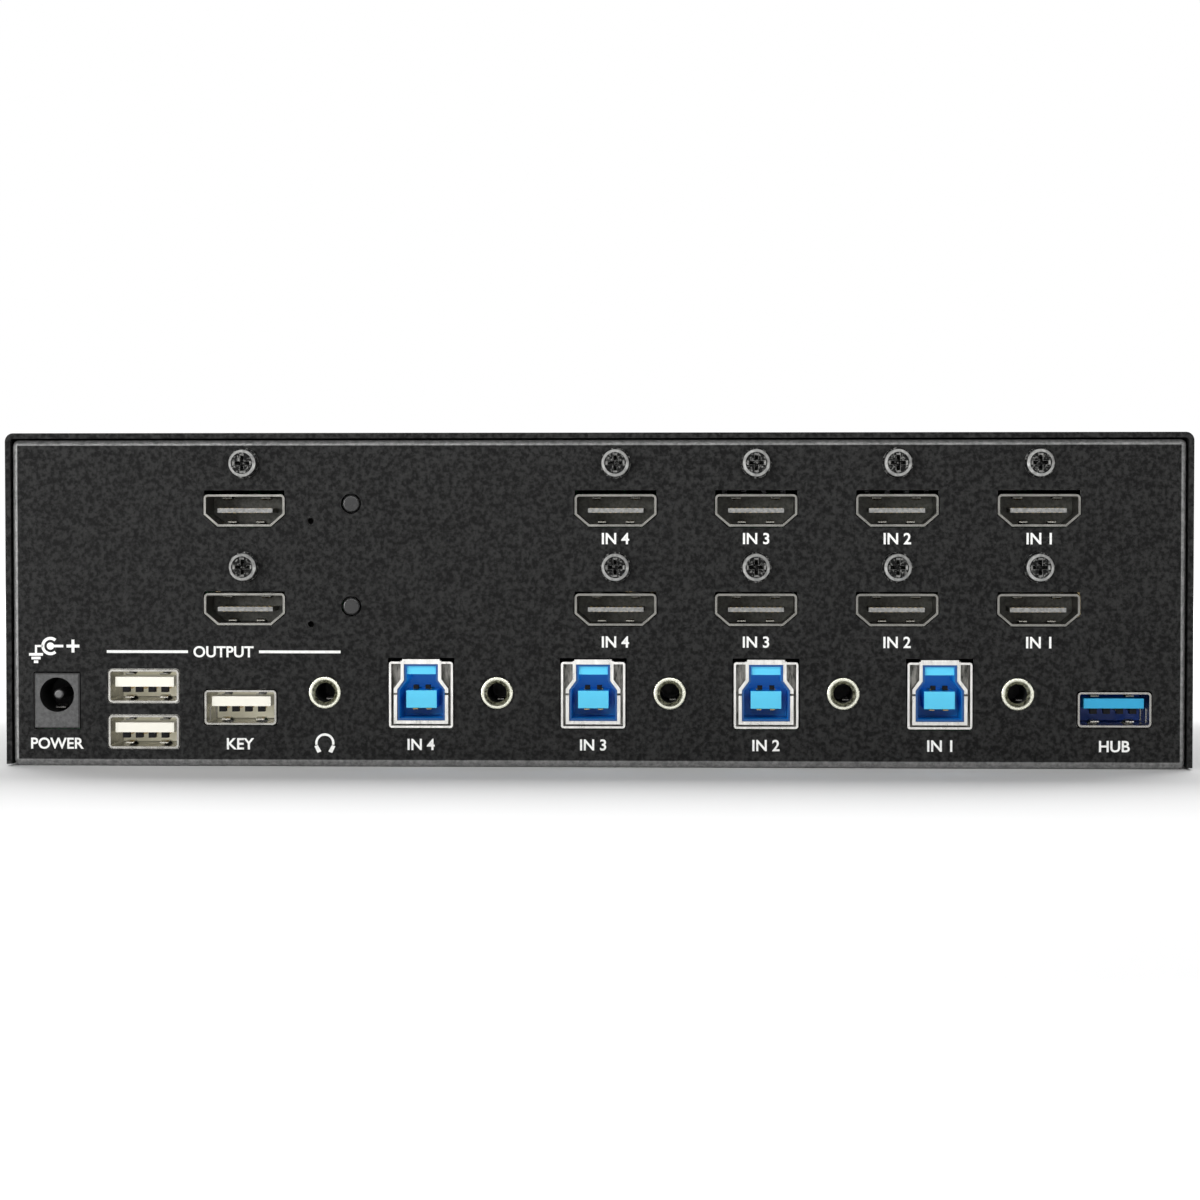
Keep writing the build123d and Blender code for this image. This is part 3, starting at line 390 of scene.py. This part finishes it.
def paint_nodes():
    """Give every CAD node its finished material."""
    # Painted light and shade: these colour ramps by depth make each socket plastic lighter or darker where
    # light falls or shade gathers.
    cyan, mid, navy = (0.08, 0.54, 0.8), (0.0, 0.32, 0.82), (0.0, 0.07, 0.26)
    blue = [(0.0, navy), (0.05, navy), (0.075, cyan), (0.1, cyan), (0.14, mid)]
    blue.append((1.0, (0.0, 0.27, 0.74)))
    tongue = (0.015, 0.33, 0.58)
    hub = [(0.0, tongue), (0.2, tongue), (0.5, (0.0, 0.1, 0.45)), (1.0, (0.0, 0.05, 0.34))]
    cream = [(0.0, (0.85, 0.83, 0.74)), (0.4, (0.8, 0.78, 0.66)), (1.0, (0.78, 0.75, 0.6))]
    shell = plated_steel("dull_nickel", (0.27, 0.265, 0.245), (0.26, 0.4))
    can = can_steel()
    steel = plated_steel("nickel_plating", (0.46, 0.45, 0.42))
    black = moulded("black_moulding", (0.018, 0.018, 0.018), (0.04, 0.04, 0.04))
    coat = powder_coat()
    screw = screw_steel()
    board = circuit_board()
    bright = plated_steel("zinc_plating", (0.7, 0.7, 0.72), (0.25, 0.4))
    button = moulded("button_moulding", (0.035, 0.035, 0.037), (0.075, 0.075, 0.078), 0.5)
    lens = lens_plastic("clear_lens", (0.5, 0.5, 0.48))
    # Painted shade: the reset plungers are coloured near black for the shade at the bottom of their
    # pinholes.
    dark = moulded("plunger_painted_shade", (0.001, 0.001, 0.001), (0.004, 0.004, 0.004), 0.6, 0.1)
    plain = {
        "chassis": folded_coat(),
        "top_cover": coat,
        "cover_screws": screw,
        "hdmi_lock_screws": screw,
        "hdmi_lock_nuts": bright,
        "board_screws": bright,
        "front_overlay": film_plastic(),
        "hdmi_tongues": contact_block(),
        # The last number of each plastic below sets its painted emission, light painted into the deep parts.
        "usb_b_inserts": deep_plastic("blue_moulding", blue, 0.14, (BASE + 12.5 * MM, BASE + 16.0 * MM)),
        "usb_a_blue_tongues": deep_plastic("blue_tongue", hub, 0.05),
        "usb_a_white_tongues": deep_plastic("white_tongue", cream, 0.22),
        "audio_jack_rings": collar_nickel(),
        "dc_jack_housing": socket_plastic(),
        # Painted shade: the power pin's plating is coloured dark for the shade deep in its socket.
        "dc_jack_pin": plated_steel("pin_plating_painted_shade", (0.12, 0.12, 0.12), (0.4, 0.5)),
        "rear_lamps": lens_plastic("smoked_lens", (0.03, 0.03, 0.03)),
        "front_light_pipes": lens,
        "switch_bodies": black,
        "reset_plunger_upper": dark,
        "reset_plunger_lower": dark,
        "board_standoffs": plated_steel("machined_brass", (0.75, 0.55, 0.24), (0.18, 0.32)),
        "ribbon_cable": ribbon_plastic(),
        "ribbon_headers": black,
        "board_link_sockets": black,
        "board_link_plugs": black,
        "integrated_circuits": chip_plastic(),
        "power_inductors": moulded("ferrite", (0.04, 0.04, 0.045), (0.09, 0.09, 0.095), 0.6),
        "heat_sinks": plated_steel("cast_aluminium", (0.66, 0.67, 0.69), (0.35, 0.5)),
        "capacitors": plated_steel("can_aluminium", (0.72, 0.73, 0.75), (0.25, 0.4)),
        "buzzer": black,
    }
    for name in ("main_board", "lower_video_board", "upper_video_board", "control_board"):
        plain[name] = board
    for name in JACK_NODES:
        plain[name] = black
    for name in HDMI_NODES:
        plain[name] = shell
    for name in USB_B_NODES:
        plain[name] = can
    for n in INPUTS:
        plain[f"select_button_{n}"] = button
    for name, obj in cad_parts.items():
        obj.data.materials.clear()
        obj.data.materials.append(plain.get(name, steel))


# ---- Mesh helpers ----
def finish_piece(bm, name, material, body=ROOT):
    """Turn a bmesh into a piece that rides on a body."""
    bmesh.ops.recalc_face_normals(bm, faces=bm.faces[:])
    mesh = bpy.data.meshes.new(name)
    bm.to_mesh(mesh)
    bm.free()
    piece = bpy.data.objects.new(name, mesh)
    bpy.context.scene.collection.objects.link(piece)
    mesh.materials.append(material)
    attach(piece, body)
    return piece


def strip(bm, x, path, width, thick):
    """Flat bar centred on x that follows a path of (y, z) points."""
    rings = []
    for i, (y, z) in enumerate(path):
        before, after = path[max(i - 1, 0)], path[min(i + 1, len(path) - 1)]
        along = Vector((after[0] - before[0], after[1] - before[1])).normalized()
        out = Vector((-along.y, along.x)) * thick / 2
        corners = [(-1, -1), (1, -1), (1, 1), (-1, 1)]
        rings.append([bm.verts.new((x + a * width / 2, y + b * out.x, z + b * out.y)) for a, b in corners])
    for first, second in zip(rings, rings[1:]):
        for i in range(4):
            bm.faces.new((first[i], first[(i + 1) % 4], second[(i + 1) % 4], second[i]))
    bm.faces.new(rings[0])
    bm.faces.new(rings[-1])


def finger(root, tip, dip, steps=10):
    """Path of a leaf spring that bows by dip between its root and its tip, in (y, z)."""
    path = []
    for i in range(steps + 1):
        t = i / steps
        bow = math.sin(math.pi * min(t / 1.35, 1.0)) ** 1.5
        path.append((root[0] + (tip[0] - root[0]) * t, root[1] + (tip[1] - root[1]) * t + dip * bow))
    return path


def plate(bm, outline, origin, facing):
    """Thin printed shape: a closed (x, z) outline in millimetres about an origin on a panel."""
    depth = facing * PRINT
    near = []
    for x, z in outline:
        near.append(bm.verts.new((origin.x - facing * x * MM, origin.y + depth, origin.z + z * MM)))
    far = [bm.verts.new((v.co.x, origin.y, v.co.z)) for v in near]
    bm.faces.new(near)
    for i in range(len(near)):
        bm.faces.new((near[i], near[i - 1], far[i - 1], far[i]))


def bar(x0, z0, x1, z1):
    """Outline of a rectangle between two corners."""
    return [(x0, z0), (x1, z0), (x1, z1), (x0, z1)]


def arc_band(cx, cz, inner, outer, start, end, steps=28):
    """Outline of a round band between two angles in degrees."""
    turns = [math.radians(start + (end - start) * i / steps) for i in range(steps + 1)]
    out = [(cx + outer * math.cos(t), cz + outer * math.sin(t)) for t in turns]
    back = [(cx + inner * math.cos(t), cz + inner * math.sin(t)) for t in reversed(turns)]
    return out + back


def disc(cx, cz, radius, steps=28):
    """Outline of a filled circle."""
    turns = [2 * math.pi * i / steps for i in range(steps)]
    return [(cx + radius * math.cos(t), cz + radius * math.sin(t)) for t in turns]


def add_text(bm, words, height, origin, facing, weight=0.02):
    """Add printed words of a given capital height in metres, centred on an origin."""
    curve = bpy.data.curves.new("glyphs", "FONT")
    curve.body = words
    curve.offset = weight
    curve.extrude = 0.01
    curve.resolution_u = 5
    holder = bpy.data.objects.new("glyphs", curve)
    bpy.context.scene.collection.objects.link(holder)
    bpy.context.view_layer.update()
    mesh = bpy.data.meshes.new_from_object(holder.evaluated_get(bpy.context.evaluated_depsgraph_get()))
    corners = [v.co for v in mesh.vertices]
    low = Vector(min(c[i] for c in corners) for i in range(3))
    high = Vector(max(c[i] for c in corners) for i in range(3))
    size = height / (high.y - low.y)
    turn = Matrix.Rotation(math.radians(90), 4, "X")
    if facing > 0:
        turn = Matrix.Rotation(math.radians(180), 4, "Z") @ turn
    shrink = Matrix.Diagonal((size, size, PRINT / (high.z - low.z), 1.0))
    lift = Vector((origin.x, origin.y + facing * PRINT / 2, origin.z))
    mesh.transform(Matrix.Translation(lift) @ turn @ shrink @ Matrix.Translation(-(low + high) / 2))
    bm.from_mesh(mesh)
    bpy.data.objects.remove(holder)
    bpy.data.curves.remove(curve)
    bpy.data.meshes.remove(mesh)


# ---- Printing on the panels ----
def on_rear(x, z):
    """Point on the connector panel."""
    return Vector((x, REAR, z))


def on_front(x, z):
    """Point on the control panel's film."""
    return Vector((x, FILM, z))


def rear_labels(ink):
    """Generic port names under the connectors."""
    bm = bmesh.new()
    tall = 2.1 * MM
    low_line = BASE + 4.2 * MM
    for row, drop in (("upper", 2.2 * MM), ("lower", 2.95 * MM)):
        for n in INPUTS:
            node = f"hdmi_in_{n}_{row}"
            mouth_low = centre_of_mouth(node).z - HDMI_HALF
            add_text(bm, f"IN {n}", tall, on_rear(centre(node).x, mouth_low - drop), -1)
    for n in INPUTS:
        add_text(bm, f"IN {n}", tall, on_rear(centre(f"usb_b_shell_{n}").x, low_line), -1)
    add_text(bm, "KEY", tall, on_rear(centre("usb_a_keyboard_shell").x, low_line), -1)
    add_text(bm, "HUB", tall, on_rear(centre("usb_a_hub_shell").x, low_line), -1)
    add_text(bm, "POWER", tall, on_rear(centre("dc_jack_housing").x, low_line), -1)
    heading = on_rear(centre("usb_a_keyboard_shell").x - 3.1 * MM, BASE + 21.2 * MM)
    add_text(bm, "OUTPUT", tall, heading, -1)
    for side in (-1, 1):
        plate(bm, bar(side * 6.6, -0.25, side * 21.7, 0.25), heading, -1)
    finish_piece(bm, "rear_labels", ink)


def centre_of_mouth(node):
    """Middle of an HDMI mouth: the shell's box without its legs."""
    low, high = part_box(node)
    return Vector(((low[0] + high[0]) / 2, low[1], high[2] - HDMI_HALF))


def rear_symbols(ink):
    """Headphone and polarity symbols."""
    bm = bmesh.new()
    phone = on_rear(centre("audio_jack_console").x, BASE + 4.4 * MM)
    plate(bm, arc_band(0, 0, 1.35, 1.78, -12, 192), phone, -1)
    for side in (-1, 1):
        cup = [(side * x, z) for x, z in ((0.65, -1.55), (1.35, -1.85), (1.95, -0.6), (1.3, -0.38))]
        plate(bm, cup, phone, -1)
    polarity = on_rear(centre("dc_jack_housing").x - 1.2 * MM, BASE + 22.2 * MM)
    plate(bm, disc(0, 0, 0.68), polarity, -1)
    plate(bm, arc_band(0, 0, 1.15, 1.7, 50, 310), polarity, -1)
    plate(bm, bar(0.65, -0.24, 2.4, 0.24), polarity, -1)
    plate(bm, bar(-2.9, -0.2, -1.4, 0.2), polarity, -1)
    plate(bm, bar(-2.9, -1.3, -2.5, -0.2), polarity, -1)
    for i, half in enumerate((1.3, 0.85, 0.4)):
        level = -1.55 - 0.68 * i
        plate(bm, bar(-2.7 - half, level - 0.25, -2.7 + half, level + 0.25), polarity, -1)
    plate(bm, bar(3.0, -0.27, 5.4, 0.27), polarity, -1)
    plate(bm, bar(3.93, 0.27, 4.47, 1.2), polarity, -1)
    plate(bm, bar(3.93, -1.2, 4.47, -0.27), polarity, -1)
    finish_piece(bm, "rear_symbols", ink)


def front_print(ink):
    """Numbers by the buttons, a frame round each pair, and the names of the lamp and port."""
    bm = bmesh.new()
    tall = 2.6 * MM
    for n in INPUTS:
        spot = centre(f"select_button_{n}")
        add_text(bm, str(n), tall, on_front(spot.x, spot.z - 7.5 * MM), 1)
        middle = on_front(spot.x, spot.z + 5.0 * MM)
        for ring in (arc_band(-7.0, 11.0, 1.6, 1.9, 90, 180, 8), arc_band(7.0, 11.0, 1.6, 1.9, 0, 90, 8)):
            plate(bm, ring, middle, 1)
        plate(bm, bar(-7.0, 12.6, 7.0, 12.9), middle, 1)
        for side in (-1, 1):
            plate(bm, bar(side * 8.6, -9.0, side * 8.9, 11.0), middle, 1)
    port = centre("usb_a_front_shell")
    add_text(bm, "HUB", tall, on_front(port.x, BASE + 18.6 * MM), 1)
    lamp = on_front(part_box("front_light_pipes")[1][0] - 2 * MM, centre("front_light_pipes").z)
    below = Vector((lamp.x, lamp.y, lamp.z - 5.0 * MM))
    plate(bm, arc_band(0, 0, 1.2, 1.55, 125, 415, 24), below, 1)
    plate(bm, bar(-0.18, 0.3, 0.18, 1.9), below, 1)
    finish_piece(bm, "front_print", ink)


# ---- Contacts and springs inside the connectors ----
def hdmi_contacts(gold):
    """Two rows of contact strips on every HDMI tongue."""
    bm = bmesh.new()
    pitch = 1.0 * MM
    for node in HDMI_NODES:
        spot = centre_of_mouth(node)
        near, far = spot.y + 1.3 * MM, spot.y + 7.5 * MM
        for side, count in ((1, 10), (-1, 9)):
            level = spot.z + side * 0.41 * MM
            for i in range(count):
                x = spot.x + (i - (count - 1) / 2) * pitch
                strip(bm, x, [(near, level), (far, level)], 0.5 * MM, 0.06 * MM)
    finish_piece(bm, "hdmi_contacts", gold)


def hdmi_springs(steel):
    """Leaf springs in the roof and floor of every HDMI shell."""
    bm = bmesh.new()
    for node in HDMI_NODES:
        spot = centre_of_mouth(node)
        for x in (-3.6, 3.6):
            roof = spot.z + 2.75 * MM
            path = finger((spot.y + 7.1 * MM, roof), (spot.y + 2.7 * MM, roof), -0.75 * MM)
            strip(bm, spot.x + x * MM, path, 1.7 * MM, 0.2 * MM)
        for x in (-2.6, 2.6):
            floor = spot.z - 2.5 * MM
            path = finger((spot.y + 6.5 * MM, floor), (spot.y + 2.4 * MM, floor), 0.6 * MM)
            strip(bm, spot.x + x * MM, path, 1.5 * MM, 0.2 * MM)
    finish_piece(bm, "hdmi_springs", steel)


def usb_a_mouths():
    """Middle of every USB-A mouth, its half height, and the direction it opens to."""
    mouths = []
    for node in USB_A_NODES:
        low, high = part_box(node)
        facing = 1 if node == "usb_a_front_shell" else -1
        y = high[1] if facing > 0 else low[1]
        middle = Vector(((low[0] + high[0]) / 2, y, high[2] - USB_A_HALF))
        mouths.append((middle, USB_A_HALF, facing))
    low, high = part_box("usb_a_console_shell")
    x = (low[0] + high[0]) / 2
    top = high[2] - 0.5 * MM - STACK_HALF
    bottom = low[2] + 0.3 * MM + STACK_HALF
    for z in (top, bottom):
        mouths.append((Vector((x, low[1], z)), STACK_HALF, -1))
    return mouths


def usb_a_springs(steel):
    """Four leaf springs in every USB-A shell."""
    bm = bmesh.new()
    for spot, half, facing in usb_a_mouths():
        for x in (-3.2, 3.2):
            for side in (-1, 1):
                wall = spot.z + side * (half - 0.35 * MM)
                root, tip = spot.y - facing * 8.2 * MM, spot.y - facing * 2.8 * MM
                path = finger((root, wall), (tip, wall), -side * 0.8 * MM)
                strip(bm, spot.x + x * MM, path, 1.5 * MM, 0.22 * MM)
    finish_piece(bm, "usb_a_springs", steel)


def usb_a_contacts(gold):
    """Contact strips under every USB-A tongue."""
    bm = bmesh.new()
    for spot, half, facing in usb_a_mouths():
        level = spot.z + TONGUE_LOW[half]
        for i, x in enumerate((-3.5, -1.0, 1.0, 3.5)):
            near = spot.y - facing * (1.8 if i in (0, 3) else 2.4) * MM
            far = spot.y - facing * 9.5 * MM
            path = finger((far, level - 0.05 * MM), (near, level), -0.5 * MM)
            strip(bm, spot.x + x * MM, path, 1.0 * MM, 0.15 * MM)
    finish_piece(bm, "usb_a_contacts", gold)


def usb_a_slots(dark):
    """Dark strips of painted shade that stand for the openings for the contacts, in a row under the front of
    every USB-A tongue.
    """
    bm = bmesh.new()
    for spot, half, facing in usb_a_mouths():
        top = spot.z + TONGUE_LOW[half]
        near, far = spot.y - facing * 1.5 * MM, spot.y - facing * 3.2 * MM
        for x in (-3.6, -1.2, 1.2, 3.6):
            path = [(near, top - 0.55 * MM), (far, top - 0.55 * MM)]
            strip(bm, spot.x + x * MM, path, 1.2 * MM, 1.0 * MM)
    finish_piece(bm, "usb_a_slots", dark)


def usb_b_mouths():
    """Middle of every USB-B mouth, at the height of the board's top."""
    mouths = []
    for node in USB_B_NODES:
        low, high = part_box(node)
        mouths.append(((low[0] + high[0]) / 2, low[1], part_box("usb_b_inserts")[0][2] - 0.7 * MM))
    return mouths


def usb_b_slots(dark):
    """Two dark strips of painted shade that stand for pockets in the moulding over every lower USB-B tongue.
    """
    bm = bmesh.new()
    for x, y, base in usb_b_mouths():
        for side in (-1, 1):
            path = [(y + 1.6 * MM, base + 7.7 * MM), (y + 3.2 * MM, base + 7.7 * MM)]
            strip(bm, x + side * 1.1 * MM, path, 0.9 * MM, 0.75 * MM)
    finish_piece(bm, "usb_b_slots", dark)


def usb_b_contacts(gold):
    """Contacts above and below the lower tongue, and under the upper one."""
    bm = bmesh.new()
    for x, y, base in usb_b_mouths():
        for level, side in ((base + 7.15 * MM, 1), (base + 3.85 * MM, -1)):
            for offset in (-1.25, 1.25):
                path = finger((y + 9.0 * MM, level), (y + 2.2 * MM, level), side * 0.35 * MM)
                strip(bm, x + offset * MM, path, 0.9 * MM, 0.15 * MM)
        for i in range(5):
            level = base + 10.2 * MM
            path = [(y + 9.0 * MM, level), (y + 2.2 * MM, level)]
            strip(bm, x + (i - 2) * 1.0 * MM, path, 0.45 * MM, 0.08 * MM)
    finish_piece(bm, "usb_b_contacts", gold)


def jack_springs(steel):
    """Spring contacts that stand in the bores of the audio jacks and the power socket."""
    bm = bmesh.new()
    for node in JACK_NODES:
        low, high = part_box(node)
        x, y, z = (low[0] + high[0]) / 2, low[1], centre("audio_jack_rings").z
        path = finger((y + 8.0 * MM, z - 1.75 * MM), (y + 1.6 * MM, z - 1.7 * MM), 0.7 * MM)
        strip(bm, x + 0.5 * MM, path, 1.1 * MM, 0.18 * MM)
    pin = centre("dc_jack_pin")
    path = finger((pin.y + 4.0 * MM, pin.z - 3.0 * MM), (pin.y - 2.6 * MM, pin.z - 3.0 * MM), 0.8 * MM)
    strip(bm, pin.x, path, 1.8 * MM, 0.25 * MM)
    finish_piece(bm, "jack_springs", steel)


# ---- Studio ----
def area_light(name, place, aim, size, power):
    """Rectangular soft light that points at a place."""
    light = bpy.data.lights.new(name, "AREA")
    light.shape = "RECTANGLE"
    light.size, light.size_y = size
    light.energy = power
    obj = bpy.data.objects.new(name, light)
    bpy.context.scene.collection.objects.link(obj)
    obj.location = place
    obj.rotation_mode = "QUATERNION"
    obj.rotation_quaternion = (Vector(aim) - Vector(place)).to_track_quat("-Z", "Y")


def studio_floor():
    """Large pale floor that glows gently far from the object, so that it meets the surround unseen."""
    bm = bmesh.new()
    half = 6.0
    level = BASE - 0.05 * MM
    corners = ((-half, -half), (half, -half), (half, half), (-half, half))
    bm.faces.new([bm.verts.new((x, y, level)) for x, y in corners])
    mesh = bpy.data.meshes.new("studio_floor")
    bm.to_mesh(mesh)
    bm.free()
    floor = bpy.data.objects.new("studio_floor", mesh)
    bpy.context.scene.collection.objects.link(floor)
    shader = Shader("floor_paper", (0.94, 0.94, 0.94), roughness=0.9, specular=0.1)
    reach = shader.tree.nodes.new("ShaderNodeVectorMath")
    reach.operation = "LENGTH"
    shader.tree.links.new(shader.place, reach.inputs[0])
    shader.set("Emission Color", (1.0, 1.0, 1.0, 1.0))
    shader.link(shader.remap(reach.outputs["Value"], 0.3, 0.9, 0.0, 0.9), "Emission Strength")
    mesh.materials.append(shader.material)


def studio_world():
    """Even pale surround, white behind the object."""
    world = bpy.data.worlds.new("studio")
    world.use_nodes = True
    tree = world.node_tree
    background = tree.nodes["Background"]
    background.inputs["Color"].default_value = (1.0, 1.0, 1.0, 1.0)
    background.inputs["Strength"].default_value = 0.12
    seen = tree.nodes.new("ShaderNodeBackground")
    seen.inputs["Color"].default_value = (1.0, 1.0, 1.0, 1.0)
    seen.inputs["Strength"].default_value = 1.0
    path = tree.nodes.new("ShaderNodeLightPath")
    mix = tree.nodes.new("ShaderNodeMixShader")
    tree.links.new(path.outputs["Is Camera Ray"], mix.inputs["Fac"])
    tree.links.new(background.outputs["Background"], mix.inputs[1])
    tree.links.new(seen.outputs["Background"], mix.inputs[2])
    tree.links.new(mix.outputs["Shader"], tree.nodes["World Output"].inputs["Surface"])
    bpy.context.scene.world = world


def studio_lights():
    """A high softbox behind for the forward shadow, a broad one in front, strips for the folds."""
    middle = (0.0, 0.0, 0.03)
    area_light("back_box", (0.0, 0.5, 0.78), middle, (1.7, 0.62), 13.4)
    area_light("front_box", (-0.2, -1.25, 0.5), middle, (1.3, 0.7), 4.3)
    area_light("front_strip", (0.0, -1.05, 0.64), middle, (1.5, 0.12), 3.8)
    area_light("left_strip", (-0.95, -0.75, 0.12), middle, (0.18, 0.5), 2.8)
    area_light("right_strip", (0.95, -0.75, 0.12), middle, (0.18, 0.5), 1.5)
    area_light("socket_fill", (-0.46, -0.72, 0.1), middle, (0.16, 0.2), 1.7)


def studio_camera():
    """Camera almost square to the connector panel, a little above it and to its right."""
    distance = 0.5
    azimuth, elevation = math.radians(2.29), math.radians(1.63)
    aim = Vector((1.02 * MM, REAR, BASE + 30.83 * MM))
    level = math.cos(elevation)
    back = Vector((math.sin(azimuth) * level, -math.cos(azimuth) * level, math.sin(elevation)))
    data = bpy.data.cameras.new("photo_camera")
    data.lens = 81.8
    data.sensor_width = 36.0
    data.clip_start = 0.01
    camera = bpy.data.objects.new("photo_camera", data)
    bpy.context.scene.collection.objects.link(camera)
    camera.location = aim + back * distance
    camera.rotation_mode = "QUATERNION"
    camera.rotation_quaternion = (-back).to_track_quat("-Z", "Y")
    bpy.context.scene.camera = camera


def build():
    """Everything, in order."""
    paint_nodes()
    ink = printed_ink()
    gold = plated_steel("contact_gold", (0.8, 0.58, 0.24), (0.2, 0.3))
    steel = plated_steel("spring_steel", (0.72, 0.71, 0.67), (0.2, 0.34))
    rear_labels(ink)
    rear_symbols(ink)
    front_print(ink)
    hdmi_contacts(gold)
    hdmi_springs(steel)
    usb_a_springs(steel)
    usb_a_contacts(gold)
    slot_shade = moulded("slot_shade", (0.002, 0.002, 0.003), (0.007, 0.007, 0.008), 0.6, 0.15)
    usb_a_slots(slot_shade)
    usb_b_slots(slot_shade)
    usb_b_contacts(gold)
    jack_springs(steel)
    studio_floor()
    studio_world()
    studio_lights()
    studio_camera()
    bpy.context.scene.view_settings.view_transform = "Standard"


build()
